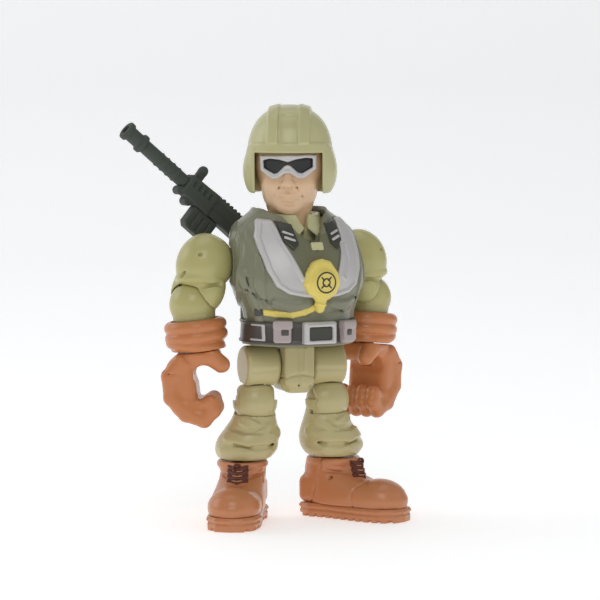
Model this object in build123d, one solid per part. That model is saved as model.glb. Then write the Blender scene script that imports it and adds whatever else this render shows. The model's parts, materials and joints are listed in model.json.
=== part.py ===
from build123d import *
import math
import os

# Posable figure of a flyer. Millimetres, +Z up, the figure faces -Y and its own left is +X.
# The origin is on the floor, below the waist axis.

# ---------------------------------------------------------------- heights, from the floor up
sole_thickness = 4.2
boot_shaft_top = 18.5
knee_above_boot = 17.9
hip_above_knee = 11.1
waist_above_hip = 7.1
chest_length = 41.0
shoulder_above_waist = 24.4
neck_above_waist = 34.4
chin_above_neck = 4.0
head_height = 34.0

# ---------------------------------------------------------------- legs, in the pelvis's own frame
pelvis_twist = -8.0
hip_y = 1.5
knee_x = 11.4
knee_y = 3.0
ankle_x = 14.6
ankle_y = 5.5
leg_splay = 14.0
boot_yaw = {"right": -35.0, "left": 29.0}
pelvis_width = 9.8
thigh_width = 10.7
thigh_radius = 6.3
knee_radius = 6.0
knee_pad_wall = 1.1
shin_radius = 9.5
boot_length = 36.0
boot_width = 16.4
heel_behind_ankle = 9.3
hip_axle_radius = 2.0
knee_pin_radius = 1.4
ankle_peg_radius = 3.0
ankle_peg_length = 8.0
knee_tongue_width = 4.6
knee_tongue_depth = 5.2

# ---------------------------------------------------------------- torso
waist_y = 1.0
chest_half_width = 21.4
chest_front = 16.4
chest_back = 16.8
belly_half_width = 16.8
belly_front = 16.8
belly_back = 13.6
vest_wall = 1.9
shell_wall = 1.6
waist_post_radius = 4.4
belt_height = 6.3
belt_wall = 1.2
pack_half_width = 10.0
pack_back = 19.6

# ---------------------------------------------------------------- head, in its own frame
head_turn = -30.0
neck_y = 3.5
neck_radius = 6.3
neck_peg_radius = 2.6
helmet_half_width = 13.0
helmet_half_depth = 13.8
helmet_wall = 1.6
face_half_width = 8.9
goggle_width = 16.4
goggle_height = 7.8

# ---------------------------------------------------------------- arms
shoulder_outside_chest = 4.1
shoulder_y = 9.0
shoulder_peg_radius = 2.8
shoulder_tongue_width = 4.0
upper_arm_raise = 20.0
raise_travel = 55.0
upper_arm_length = 13.3
deltoid_radius = 8.2
elbow_radius = 7.1
elbow_pin_radius = 1.3
elbow_tongue_width = 4.2
elbow_tongue_height = 5.4
elbow_tongue_end_radius = 3.4
elbow_straighten = 26.0
elbow_bend = 2.0
palm_direction = 210.0
forearm_bend = 6.6
cuff_below_elbow = 9.2
cuff_radius = 9.8
cuff_height = 9.4
wrist_peg_radius = 2.6
grip_below_cuff = 12.2
grip_offset = 1.3
grip_radius = 3.2
hand_width = 15.6

# ---------------------------------------------------------------- rifle, along its own barrel
rifle_y = 26.6
rifle_slope = 40.0
rifle_height_at_pack = 82.0
rifle_thickness = 4.6
stock_length = 48.0
receiver_length = 32.0
handguard_length = 18.0
barrel_length = 18.0
barrel_radius = 2.3
muzzle_length = 7.5
clip_length = 8.0
clip_wall = 1.1
clip_stud_radius = 1.5
clip_stud_length = 2.2

# ---------------------------------------------------------------- fits
running_fit = 0.06
moving_gap = 0.35
part_gap = 0.1

# ---------------------------------------------------------------- places worked out from the sizes
knee_z = boot_shaft_top + knee_above_boot
hip_z = knee_z + hip_above_knee
waist_z = hip_z + waist_above_hip
shoulder_z = waist_z + shoulder_above_waist
shoulder_x = chest_half_width + shoulder_outside_chest
neck_z = waist_z + neck_above_waist
chin_z = neck_z + chin_above_neck
helmet_top_z = chin_z + head_height
pelvis_frame = Location((0, waist_y, 0), (0, 0, pelvis_twist))
head_frame = Location((0, neck_y, 0), (0, 0, head_turn))
rifle_frame = Location((0, rifle_y, rifle_height_at_pack), (0, 0, 180)) * Location((0, 0, 0), (0, -rifle_slope, 0))


def ellipsoid(centre, radii):
    """A sphere stretched to three half-sizes."""
    return Pos(*centre) * scale(Sphere(1), by=radii)


def oval_loft(rows):
    """A smooth body through level ovals, each (z, centre x, centre y, half width, half depth)."""
    return loft([Pos(x, y, z) * Ellipse(width, depth) for z, x, y, width, depth in rows])


def rod_x(centre, radius, length):
    """A rod along X."""
    return Pos(*centre) * Rot(0, 90, 0) * Cylinder(radius, length)


def rod_y(centre, radius, length):
    """A rod along Y."""
    return Pos(*centre) * Rot(90, 0, 0) * Cylinder(radius, length)


def block(low, high):
    """A box between two corners."""
    size = [b - a for a, b in zip(low, high)]
    middle = [(a + b) / 2 for a, b in zip(low, high)]
    return Pos(*middle) * Box(*size)


def soft_block(low, high, radius):
    """A box between two corners, with rounded edges."""
    return fillet(block(low, high).edges(), radius)


def front_outline(points, y_from, y_to):
    """A closed outline of (x, z) points, solid from one y to the other."""
    face = make_face(Polyline([(x, 0, z) for x, z in points], close=True))
    return Pos(0, y_from, 0) * extrude(face, amount=y_to - y_from, dir=(0, 1, 0))


def side_of(shape, side):
    """The left-hand shape, or its mirror image for the right."""
    return shape if side == "left" else mirror(shape, about=Plane.YZ)


def keep(name, shape, nodes, place=Location()):
    """Store a finished piece under its node's name."""
    nodes[name] = place * shape


# ---------------------------------------------------------------- legs

def knee_place():
    """The left knee's frame in the pelvis's frame, with its own X along the knee pin."""
    return Location((knee_x, knee_y, knee_z), (0, 0, leg_splay))


def ankle_place():
    """The left ankle's axis in the pelvis's frame, at the floor."""
    return Location((ankle_x, ankle_y, 0))


def hip_inner():
    return pelvis_width / 2 + moving_gap


def pelvis():
    """The hip block with its fly flap, its waist post and the bore for the hip axle."""
    half = pelvis_width / 2
    low = hip_z - 8.0
    core = soft_block((-half, hip_y - 6.0, low), (half, hip_y + 6.0, waist_z - moving_gap), 1.6)
    flap = soft_block(
        (-half + 0.3, hip_y - 7.4, low + 4.6), (half - 0.3, hip_y - 2, waist_z - moving_gap), 1.0)
    post_base = waist_z - moving_gap - 2
    post = Pos(0, 0, post_base) * Cylinder(
        waist_post_radius, 9.0, align=(Align.CENTER, Align.CENTER, Align.MIN))
    rim = Pos(0, 0, post_base + 7.6) * Cylinder(
        waist_post_radius + 1.2, 1.4, align=(Align.CENTER, Align.CENTER, Align.MIN))
    return core + flap + post + rim - rod_x((0, hip_y, hip_z), hip_axle_radius, pelvis_width + 2)


def hip_axle():
    """The rod on which both thighs swing, held in the pelvis."""
    return rod_x((0, hip_y, hip_z), hip_axle_radius, 2 * (hip_inner() + thigh_width - 2.0))


def knee_clearance():
    """The room around the knee pad that the thigh leaves, centred on the knee."""
    return Sphere(knee_radius + knee_pad_wall + moving_gap)


def thigh():
    """Round about the hip axle, with a tongue that goes down into the knee."""
    inner = hip_inner()
    middle = inner + thigh_width / 2
    hip_disc = rod_x((middle, hip_y, hip_z), thigh_radius, thigh_width)
    hip_disc = fillet(hip_disc.edges(), 1.2)
    body = loft([
        Pos(middle, hip_y, hip_z) * RectangleRounded(thigh_width - 0.6, 2 * thigh_radius - 0.2, 3.2),
        Pos(knee_x + 0.3, knee_y - 0.8, knee_z + 2.2) * RectangleRounded(12.6, 13.4, 4.0),
    ])
    tongue = Pos(0, 0, 2.6) * Box(knee_tongue_width, knee_tongue_depth, 9.0)
    tongue += rod_x((0, 0, 0), 3.9, knee_tongue_width)
    solid = hip_disc + body - knee_place() * knee_clearance()
    solid += knee_place() * tongue
    solid -= knee_place() * rod_x((0, 0, 0), knee_pin_radius + running_fit, 20)
    bore_length = thigh_width - 1.9
    bore_middle = inner + bore_length / 2 - 1
    return solid - rod_x((bore_middle, hip_y, hip_z), hip_axle_radius + running_fit, bore_length + 2)


def knee_slot():
    """The room in the shin for the thigh's tongue, open at the top and behind."""
    width = knee_tongue_width + 2 * moving_gap
    front = -knee_tongue_depth / 2 - moving_gap
    room = block((-width / 2, front, -4.1 - moving_gap), (width / 2, 14, 14))
    return room + rod_x((0, 0, 0), 3.9 + moving_gap, width)


def shin():
    """Trouser leg, from the round knee down to the cuff, with the peg for the boot."""
    bottom = boot_shaft_top + moving_gap
    ankle_to_knee = [
        (bottom, ankle_x - 0.2, ankle_y - 0.6, 8.2, 8.4),
        (boot_shaft_top + 4.8, 13.4, 4.6, shin_radius, shin_radius),
        (boot_shaft_top + 9.2, 12.0, 3.8, 7.8, 7.8),
        (knee_z - 3.6, knee_x, knee_y, 5.0, 5.0),
    ]
    body = oval_loft(ankle_to_knee) + knee_place() * Sphere(knee_radius)
    peg = Pos(ankle_x, ankle_y, bottom + 1) * Cylinder(
        ankle_peg_radius, ankle_peg_length + 1, align=(Align.CENTER, Align.CENTER, Align.MAX))
    for piece in (knee_slot(), knee_pin(), knee_pad()):
        body -= knee_place() * piece
    return body + peg


def knee_pin():
    """The pin through the knee."""
    return rod_x((0, 0, 0), knee_pin_radius, 2 * (knee_radius - 0.9))


def knee_pad():
    """A domed guard over the front of the knee, with its two strap ends."""
    shell = Sphere(knee_radius + knee_pad_wall) - Sphere(knee_radius + 0.02)
    front = block((-5.6, -12, -5.6), (5.6, -knee_tongue_depth / 2 - moving_gap, 5.4))
    strap = block((-12, -4.4, -3.0), (12, 3.0, 0.6))
    return shell & (front + strap)


def boot_outline(grow):
    """The sole's outline seen from above, toe towards -Y."""
    toe = heel_behind_ankle - boot_length
    half = boot_width / 2 + grow
    ball = toe + half - grow
    front = Pos(0, ball, 0) * Circle(half)
    heel = Pos(0, heel_behind_ankle - 6.6, 0) * Circle(6.6 + grow)
    waist = make_face(Polyline([
        (-half, ball, 0), (half, ball, 0),
        (6.6 + grow, heel_behind_ankle - 6.6, 0), (-6.6 - grow, heel_behind_ankle - 6.6, 0),
    ], close=True))
    return front + heel + waist


def boot_sole():
    """The outsole with cross grooves that leave its lugs."""
    sole = extrude(boot_outline(0), amount=sole_thickness)
    pitch = boot_length / 8
    for i in range(7):
        y = heel_behind_ankle - pitch * (i + 1)
        sole -= block((-20, y - 0.7, -1), (20, y + 0.7, 1.1))
    return sole


def boot():
    """The boot's upper, with the bore for the ankle peg."""
    toe = heel_behind_ankle - boot_length
    width = boot_width / 2 - 0.5
    middle = (toe + heel_behind_ankle) / 2
    half_length = boot_length / 2 - 0.9
    rows = [
        (sole_thickness, 0, middle, width - 0.3, half_length),
        (sole_thickness + 3.6, 0, middle + 0.3, width, half_length - 0.4),
        (sole_thickness + 6.9, 0, middle + 5.2, width - 0.9, half_length - 5.6),
        (sole_thickness + 9.6, 0, 0.2, 6.9, 8.6),
        (boot_shaft_top, 0, -0.2, 7.5, 8.0),
    ]
    socket_depth = ankle_peg_length - moving_gap + 0.4
    socket = Pos(0, 0, boot_shaft_top + 1) * Cylinder(
        ankle_peg_radius + running_fit, socket_depth + 1, align=(Align.CENTER, Align.CENTER, Align.MAX))
    return oval_loft(rows) - socket


def boot_laces(upper):
    """Crossed laces lying on the front of the upper."""
    laces = Part()
    for i in range(3):
        z = sole_thickness + 8.4 + 2.1 * i
        y = -10.4 + 1.5 * i
        for tilt in (-16, 16):
            laces += Pos(0, y, z) * Rot(0, tilt, 0) * Rot(0, 90, 0) * Cylinder(0.75, 8.4)
    return laces - upper


def build_legs(nodes):
    """Pelvis, axle and both legs."""
    keep("pelvis", pelvis(), nodes, pelvis_frame)
    keep("hip_axle", hip_axle(), nodes, pelvis_frame)
    for side in ("left", "right"):
        keep(f"{side}_thigh", side_of(thigh(), side), nodes, pelvis_frame)
        keep(f"{side}_shin", side_of(shin(), side), nodes, pelvis_frame)
        keep(f"{side}_knee_pin", side_of(knee_place() * knee_pin(), side), nodes, pelvis_frame)
        keep(f"{side}_knee_pad", side_of(knee_place() * knee_pad(), side), nodes, pelvis_frame)
        ankle = pelvis_frame * Location((ankle_x if side == "left" else -ankle_x, ankle_y, 0))
        foot = Location(ankle.position, (0, 0, boot_yaw[side]))
        upper = boot()
        keep(f"{side}_boot", upper, nodes, foot)
        keep(f"{side}_boot_sole", boot_sole(), nodes, foot)
        keep(f"{side}_boot_laces", boot_laces(upper), nodes, foot)


# ---------------------------------------------------------------- torso

def trunk(inset):
    """The chest and belly as one smooth body, set in by the amount given."""
    rows = [
        (0.0, belly_half_width, belly_front, belly_back),
        (8.3, belly_half_width - 0.2, belly_front - 0.3, belly_back),
        (21.0, chest_half_width, chest_front, chest_back),
        (29.0, chest_half_width - 1.0, chest_front - 3.0, chest_back),
        (35.0, chest_half_width - 3.0, chest_front - 7.4, chest_back - 1.0),
        (chest_length - 0.8, 11.6, 4.4, 13.4),
    ]
    sections = []
    for z, half, front, back in rows:
        face = Ellipse(half - inset, (front + back) / 2 - inset)
        sections.append(Pos(0, (back - front) / 2, waist_z + z) * face)
    return loft(sections)


def neck_opening(radius):
    """The room for the collar and neck, down from the shoulders' top."""
    well = Pos(0, neck_y, neck_z - 3.0) * Cylinder(
        radius, 20, align=(Align.CENTER, Align.CENTER, Align.MIN))
    edge = radius - 1
    notch = front_outline([(-edge, neck_z + 9), (edge, neck_z + 9), (0, neck_z - 7.4)], -25, neck_y)
    return well + notch


def shoulder_rooms(radius, inside):
    """A flat round recess on each side for the arms to swing in."""
    room = rod_x((shoulder_x, shoulder_y, shoulder_z), radius, 2 * (shoulder_x - inside))
    return room + mirror(room, about=Plane.YZ)


def arm_sockets():
    """The round hollow that the top of each arm turns in."""
    socket = Pos(shoulder_x, shoulder_y, shoulder_z) * Sphere(deltoid_radius + 0.4 + moving_gap)
    return socket + mirror(socket, about=Plane.YZ)


def peg_bores(radius, inside):
    """Both shoulder bores."""
    length = shoulder_x - inside
    bore = rod_x((inside + length / 2, shoulder_y, shoulder_z), radius, length)
    return bore + mirror(bore, about=Plane.YZ)


def arm_room_inside():
    """How far out the flat of the arm's recess lies."""
    return chest_half_width - 1.2


def torso_shells():
    """The two hollow inner shells, with shoulder tubes and the waist and neck sockets."""
    outside = vest_wall + part_gap
    outer = trunk(outside)
    shell = outer - trunk(outside + shell_wall)
    level = waist_z + 1.4
    floor = outer & block((-40, -40, waist_z), (40, 40, level + 2.2))
    roof = outer & block((-40, -40, neck_z - 5.2), (40, 40, neck_z - 3.2))
    wall_x = 13.0
    tubes = peg_bores(shoulder_peg_radius + 1.9, wall_x - 4) & outer
    shell = shell + floor + roof + tubes
    shell -= neck_opening(10.2)
    shell -= Pos(0, waist_y, waist_z - 1) * Cylinder(
        waist_post_radius + running_fit, 12, align=(Align.CENTER, Align.CENTER, Align.MIN))
    shell -= Pos(0, waist_y, level + 2.2) * Cylinder(
        waist_post_radius + 1.2 + moving_gap, 6, align=(Align.CENTER, Align.CENTER, Align.MIN))
    shell -= peg_bores(shoulder_peg_radius + running_fit, wall_x - 6)
    shell -= arm_sockets()
    shell -= Pos(0, neck_y, neck_z - 6) * Cylinder(
        neck_peg_radius, 6, align=(Align.CENTER, Align.CENTER, Align.MIN))
    split = waist_y
    front = shell & block((-40, -40, 0), (40, split, 200))
    back = shell & block((-40, split + 0.02, 0), (40, 40, 200))
    return front, back


def vest():
    """The moulded vest over the shells, in a front and a back piece."""
    wall = trunk(0) - trunk(vest_wall)
    wall -= neck_opening(10.6)
    wall -= shoulder_rooms(12.4, arm_room_inside())
    wall -= arm_sockets()
    wall -= peg_bores(shoulder_peg_radius + 2.4, 10)
    split = waist_y
    front = wall & block((-40, -40, 0), (40, split, 200))
    back = wall & block((-40, split + 0.02, 0), (40, 40, 200))
    return front, back


def on_chest(outline, inset, proud):
    """A plate that follows the chest inside an outline of (x, height above the waist) points."""
    plate = trunk(-proud) - trunk(-inset)
    points = [(x, waist_z + z) for x, z in outline]
    return plate & front_outline(points, -40, waist_y - 2)


def chest_panel():
    """The U-shaped breast plate with raised rims."""
    half = [(0, 14.4), (5.5, 15.0), (10.0, 16.0), (13.2, 18.2), (15.6, 24.0), (16.4, 30.0),
            (16.4, 33.0), (13.6, 38.2), (10.4, 37.8), (9.8, 31.4), (7.4, 25.4), (5.6, 20.8), (0, 19.2)]
    outline = half + [(-x, z) for x, z in reversed(half[1:-1])]
    return on_chest(outline, part_gap, 1.0)


def chest_rivets():
    """Three rivets on the left of the breast plate."""
    rivets = Part()
    for x, z in ((13.9, 29.0), (13.4, 25.0), (12.2, 20.8)):
        stub = Pos(x, -20, waist_z + z) * Rot(90, 0, 0) * Cylinder(0.6, 40)
        rivets += stub & (trunk(-1.5) - trunk(-1.0))
    return rivets


def shoulder_buckles():
    """The buckles on both shoulder straps."""
    buckles = Part()
    for side in (-1, 1):
        outline = [(side * 6.4, 34.6), (side * 9.6, 35.6), (side * 9.2, 31.4), (side * 6.6, 30.4)]
        buckles += on_chest(outline, part_gap, 1.2)
    return buckles


def shirt_collar():
    """The shirt collar standing in the vest's neck opening."""
    bottom = neck_z - 3.0
    rows_out = [(bottom, 0, neck_y, 9.0, 9.0), (neck_z + 3.4, 0, neck_y, 9.3, 9.3)]
    rows_in = [(bottom - 1, 0, neck_y, 6.9, 6.9), (neck_z + 4, 0, neck_y, 7.4, 7.4)]
    ring = oval_loft(rows_out) - oval_loft(rows_in)
    notch = front_outline([(-4.2, neck_z + 6), (4.2, neck_z + 6), (0, neck_z - 1.6)], -25, neck_y)
    return ring - notch


def neck_peg():
    """The fixed peg that the head turns on."""
    low = neck_z - 5.2
    peg = Pos(0, neck_y, low) * Cylinder(
        neck_peg_radius, 11.4, align=(Align.CENTER, Align.CENTER, Align.MIN))
    return peg


def chest_front_at(z_above_waist, x):
    """How far forward the chest stands at a height above the waist and a distance from the middle."""
    z = waist_z + z_above_waist
    column = block((x - 0.05, -60, z - 0.05), (x + 0.05, 0, z + 0.05))
    return (trunk(0) & column).bounding_box().min.Y


def mask_pieces():
    """The breathing mask on the chest: cup with nozzle, badge, hose and strap."""
    centre_z = 19.4
    front = chest_front_at(centre_z, 0)
    outline = [(0, 25.6), (3.4, 24.0), (5.6, 20.4), (5.2, 17.2), (2.4, 14.6), (-2.4, 14.6),
               (-5.2, 17.2), (-5.6, 20.4), (-3.4, 24.0)]
    points = [(x, waist_z + z) for x, z in outline]
    cup = front_outline(points, front - 3.2, front + 4)
    cup = chamfer(cup.faces().sort_by(Axis.Y)[0].edges(), 0.9)
    nozzle = Pos(-0.6, front - 1.3, waist_z + 13.4) * Cylinder(1.8, 4.6)
    clear = trunk(-1.0 - part_gap)
    cup = cup + nozzle - clear
    badge_face = front - 3.2
    badge = rod_y((0, badge_face - 0.3, waist_z + centre_z), 3.2, 0.6)
    start = (-0.6, front - 1.3, waist_z + 11.1)
    path = FilletPolyline(
        start, (-0.4, front - 1.2, waist_z + 8.8), (4.4, front - 1.0, waist_z + 8.4),
        (11.0, chest_front_at(9.6, 11.0) - 1.0, waist_z + 9.6), radius=1.7)
    hose = sweep(Plane(start, z_dir=path % 0) * Circle(1.1), path=path)
    strap_points = [(-2.6, 13.0), (-6.2, 10.6), (-9.6, 10.2), (-14.6, 10.6), (-14.6, 9.0), (-9.4, 8.6),
                    (-5.8, 9.0), (-2.6, 11.2)]
    strap = on_chest(strap_points, part_gap, 1.1)
    return cup, badge, hose - clear - cup, strap - cup


def belt_pieces():
    """Belt band, buckle and pouches."""
    low = 0.9
    high = low + belt_height
    ring = trunk(-belt_wall) - trunk(-part_gap)
    band = ring & block((-40, -40, waist_z + low), (40, 40, waist_z + high))
    front = chest_front_at(4.0, 0) - belt_wall
    buckle_x = -1.0
    plate = soft_block(
        (buckle_x - 5.2, front - 1.2, waist_z + 0.7), (buckle_x + 5.2, front + 2.4, waist_z + 7.1), 0.5)
    plate -= block((buckle_x - 3.8, front - 2, waist_z + 2.2), (buckle_x + 3.8, front - 0.5, waist_z + 5.8))
    clear = trunk(-belt_wall - part_gap)
    pouches = Part()
    for low_x, high_x in ((-14.2, -8.6), (6.2, 12.0)):
        outline = [(low_x, 1.6), (high_x, 1.6), (high_x, 8.2), (low_x, 8.2)]
        pouches += on_chest(outline, belt_wall + part_gap, belt_wall + 2.2)
    return band, plate - clear, pouches


def backpack():
    """The pack moulded against the back."""
    low = waist_z + 3.4
    high = waist_z + chest_length - 5.0
    body = soft_block((-pack_half_width, 6.0, low), (pack_half_width, pack_back, high), 2.2)
    depth = clip_stud_length + moving_gap
    stud_bore = rod_y(
        (0, pack_back - depth / 2 + 1, rifle_height_at_pack), clip_stud_radius + running_fit, depth + 2)
    clear = trunk(-part_gap)
    below_belt = block((-30, 0, 0), (30, 40, waist_z + 8.6))
    band_clear = trunk(-belt_wall - part_gap) & below_belt
    return body - clear - band_clear - stud_bore


def build_torso(nodes):
    """Everything that is fixed to the torso."""
    front, back = torso_shells()
    keep("torso_front", front, nodes)
    keep("torso_back", back, nodes)
    vest_front, vest_back = vest()
    keep("vest_front", vest_front, nodes)
    keep("vest_back", vest_back, nodes)
    cup, badge, hose, strap = mask_pieces()
    band, buckle, pouches = belt_pieces()
    panel = chest_panel()
    keep("chest_panel", panel, nodes)
    keep("chest_rivets", chest_rivets(), nodes)
    keep("shoulder_buckles", shoulder_buckles() - panel, nodes)
    keep("shirt_collar", shirt_collar(), nodes)
    keep("neck_peg", neck_peg(), nodes)
    keep("mask_cup", cup, nodes)
    keep("mask_badge", badge, nodes)
    keep("mask_hose", hose, nodes)
    keep("mask_strap", strap, nodes)
    keep("belt", band, nodes)
    keep("belt_buckle", buckle, nodes)
    keep("belt_pouches", pouches - hose, nodes)
    keep("backpack", backpack(), nodes)


# ---------------------------------------------------------------- head

def skull_centre():
    return (0, 0.5, helmet_top_z - 16.6)


def head():
    """Head and neck in one, with the bore for the neck peg."""
    inside = helmet_wall + 0.3
    skull = ellipsoid(
        skull_centre(), (helmet_half_width - inside, helmet_half_depth - inside, 16.6 - inside))
    skull &= block((-20, -20, chin_z + 7), (20, 20, 200))
    face = ellipsoid((0, -1.6, chin_z + 12.4), (face_half_width, 9.8, 12.4))
    jaw = oval_loft([
        (chin_z + 0.3, 0, -6.2, 4.0, 3.4),
        (chin_z + 4.0, 0, -3.6, 7.0, 7.0),
        (chin_z + 12.0, 0, -2.0, 8.7, 9.2),
    ])
    nose = ellipsoid((0, -11.0, chin_z + 8.8), (1.6, 1.7, 2.8))
    neck = Pos(0, 0, neck_z - 0.6) * Cylinder(
        neck_radius, chin_above_neck + 8, align=(Align.CENTER, Align.CENTER, Align.MIN))
    bore = Pos(0, 0, neck_z - 2) * Cylinder(
        neck_peg_radius + running_fit, 9.0, align=(Align.CENTER, Align.CENTER, Align.MIN))
    return skull + face + jaw + nose + neck - bore


def helmet(inner_head):
    """Flying helmet: a shell with cheek guards and two raised front ribs."""
    outer = ellipsoid(skull_centre(), (helmet_half_width, helmet_half_depth, 16.6))
    ribs = Part()
    for x in (-4.6, 4.6):
        rib = ellipsoid((x, 0.5, helmet_top_z - 16.2), (2.2, helmet_half_depth - 0.2, 16.0))
        ribs += rib & block((-20, -20, helmet_top_z - 12.8), (20, 2, helmet_top_z + 2))
    inner = ellipsoid(
        skull_centre(),
        (helmet_half_width - helmet_wall, helmet_half_depth - helmet_wall, 16.6 - helmet_wall))
    shell = outer + ribs - inner
    shell &= block((-20, -20, chin_z + 9.8), (20, 20, 200))
    face_opening = block(
        (-face_half_width - 0.6, -20, chin_z), (face_half_width + 0.6, -3.0, helmet_top_z - 13.4))
    return shell - face_opening - inner_head


def goggles(inner_head, shell):
    """The goggles' frame and their dark lens."""
    low = chin_z + 10.2
    high = low + goggle_height
    half = goggle_width / 2
    body = soft_block((-half, -13.2, low), (half, -7.6, high), 1.6)
    window = Part()
    for x in (-3.9, 3.9):
        window += block((x - 2.9, -14, low + 1.4), (x + 2.9, -9, high - 1.6))
    window += block((-2, -14, low + 3.6), (2, -9, high - 2.0))
    clear = inner_head + shell
    frame = body - window - clear
    lens = (window & block((-half, -12.6, low), (half, -9.2, high))) - clear
    return frame, lens


def build_head(nodes):
    """Everything that turns with the head."""
    skull = head()
    shell = helmet(skull)
    frame, lens = goggles(skull, shell)
    keep("head", skull, nodes, head_frame)
    keep("helmet", shell, nodes, head_frame)
    keep("goggle_frame", frame, nodes, head_frame)
    keep("goggle_lens", lens, nodes, head_frame)


# ---------------------------------------------------------------- arms, drawn for the left

def shoulder_place():
    """The shoulder, with +Z up along the hanging upper arm."""
    return Location((shoulder_x, shoulder_y, shoulder_z), (0, -upper_arm_raise, 0))


def elbow_point():
    return (shoulder_place() * Location((0, 0, -upper_arm_length))).position


def elbow_place():
    """The elbow: +X towards the palm's open side, +Y along the elbow pin, -Z down the forearm."""
    turned = Location(elbow_point(), (0, 0, palm_direction))
    return turned * Location((0, 0, 0), (0, -forearm_bend, 0))


def grip_place():
    """The middle of the grip, with the same directions as the elbow."""
    return elbow_place() * Location((grip_offset, 0, -cuff_below_elbow - grip_below_cuff))


def upper_arm_lean():
    """How far the upper arm leans towards the palm's open side, from the forearm's own line."""
    shoulder_in_elbow = (elbow_place().inverse() * Location(shoulder_place().position)).position
    return math.degrees(math.atan2(shoulder_in_elbow.X, shoulder_in_elbow.Z))


def shoulder_tongue():
    """The peg's flat end, about the shoulder."""
    return rod_y((0, 0, 0), 3.6, shoulder_tongue_width)


def shoulder_peg():
    """Stem in the torso's bore, with a flat round end inside the arm."""
    inside = 10.0
    stem_length = shoulder_x - inside
    stem = rod_x((inside + stem_length / 2, shoulder_y, shoulder_z), shoulder_peg_radius, stem_length)
    keep_width = block(
        (-50, shoulder_y - shoulder_tongue_width / 2, 0), (80, shoulder_y + shoulder_tongue_width / 2, 200))
    outside = shoulder_x - deltoid_radius - 0.4 - 2 * moving_gap
    near = stem & block((0, -50, 0), (outside, 50, 200))
    far = stem & block((outside, -50, 0), (80, 50, 200)) & keep_width
    tongue = Pos(shoulder_x, shoulder_y, shoulder_z) * shoulder_tongue()
    pin_hole = rod_y((shoulder_x, shoulder_y, shoulder_z), 1.3 + running_fit, 20)
    return near + far + tongue - pin_hole


def upper_arm():
    """The shoulder pad, slotted for the peg, with a tongue for the elbow."""
    place = shoulder_place()
    pad = ellipsoid((0.6, 0, -1.6), (deltoid_radius, deltoid_radius + 0.8, deltoid_radius + 1.8))
    inside = shoulder_x - arm_room_inside() - moving_gap
    pad &= Rot(0, upper_arm_raise, 0) * block((-inside, -30, -40), (40, 30, 40))
    pad += Sphere(deltoid_radius + 0.4)
    below = Pos(0, 0, -upper_arm_length) * Sphere(elbow_radius + moving_gap)
    slot_half = shoulder_tongue_width / 2 + moving_gap
    slot = block((-20, -slot_half, -3.2 - moving_gap), (3.9, slot_half, 3.2 + moving_gap))
    slot += rod_y((0, 0, 0), 3.6 + moving_gap, 2 * slot_half)
    swept = Part()
    for step in range(5):
        swept += Rot(0, upper_arm_raise + raise_travel * step / 4, 0) * slot
    pin = rod_y((0, 0, 0), 1.3, 2 * slot_half + 2)
    body = place * (pad - below - swept + pin)
    stem = Pos(0, 0, 3.4) * Box(elbow_tongue_height, elbow_tongue_width, 8.4)
    tongue = Rot(0, upper_arm_lean(), 0) * stem
    tongue += rod_y((0, 0, 0), elbow_tongue_end_radius, elbow_tongue_width)
    tongue -= rod_y((0, 0, 0), elbow_pin_radius + running_fit, 20)
    return body + elbow_place() * tongue


def elbow_pin():
    return rod_y((0, 0, 0), elbow_pin_radius, 2 * (elbow_radius - 1.0))


def forearm():
    """Round elbow with a slot for the tongue, and the peg that the glove turns on."""
    ball = Sphere(elbow_radius)
    sleeve = loft([
        Pos(0, 0, -2.0) * Circle(elbow_radius - 0.5),
        Pos(0, 0, -cuff_below_elbow - cuff_height / 2 + 1.0) * Circle(5.6),
    ])
    slot_half = elbow_tongue_width / 2 + moving_gap
    path_half = elbow_tongue_height / 2 + moving_gap
    room = rod_y((0, 0, 0), elbow_tongue_end_radius + moving_gap, 2 * slot_half)
    for step in range(5):
        turn = upper_arm_lean() - elbow_straighten + (elbow_straighten + elbow_bend) * step / 4
        room += Rot(0, turn, 0) * block((-path_half, -slot_half, 0), (path_half, slot_half, 14))
    peg_top = -cuff_below_elbow
    peg = Pos(0, 0, peg_top) * Cylinder(
        wrist_peg_radius, cuff_height / 2 + 4.4, align=(Align.CENTER, Align.CENTER, Align.MAX))
    return ball + sleeve + peg - room - elbow_pin()


def glove_cuff():
    """The gauntlet's cuff with its two thick rolls."""
    middle = -cuff_below_elbow
    wall = Pos(0, 0, middle) * Cylinder(cuff_radius - 1.4, cuff_height)
    rolls = Part()
    for z in (middle + 2.3, middle - 2.3):
        rolls += Pos(0, 0, z) * Torus(cuff_radius - 2.2, 2.2)
    bore = Pos(0, 0, middle) * Cylinder(elbow_radius - 0.1 + moving_gap, cuff_height + 4)
    return wall + rolls - bore


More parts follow.
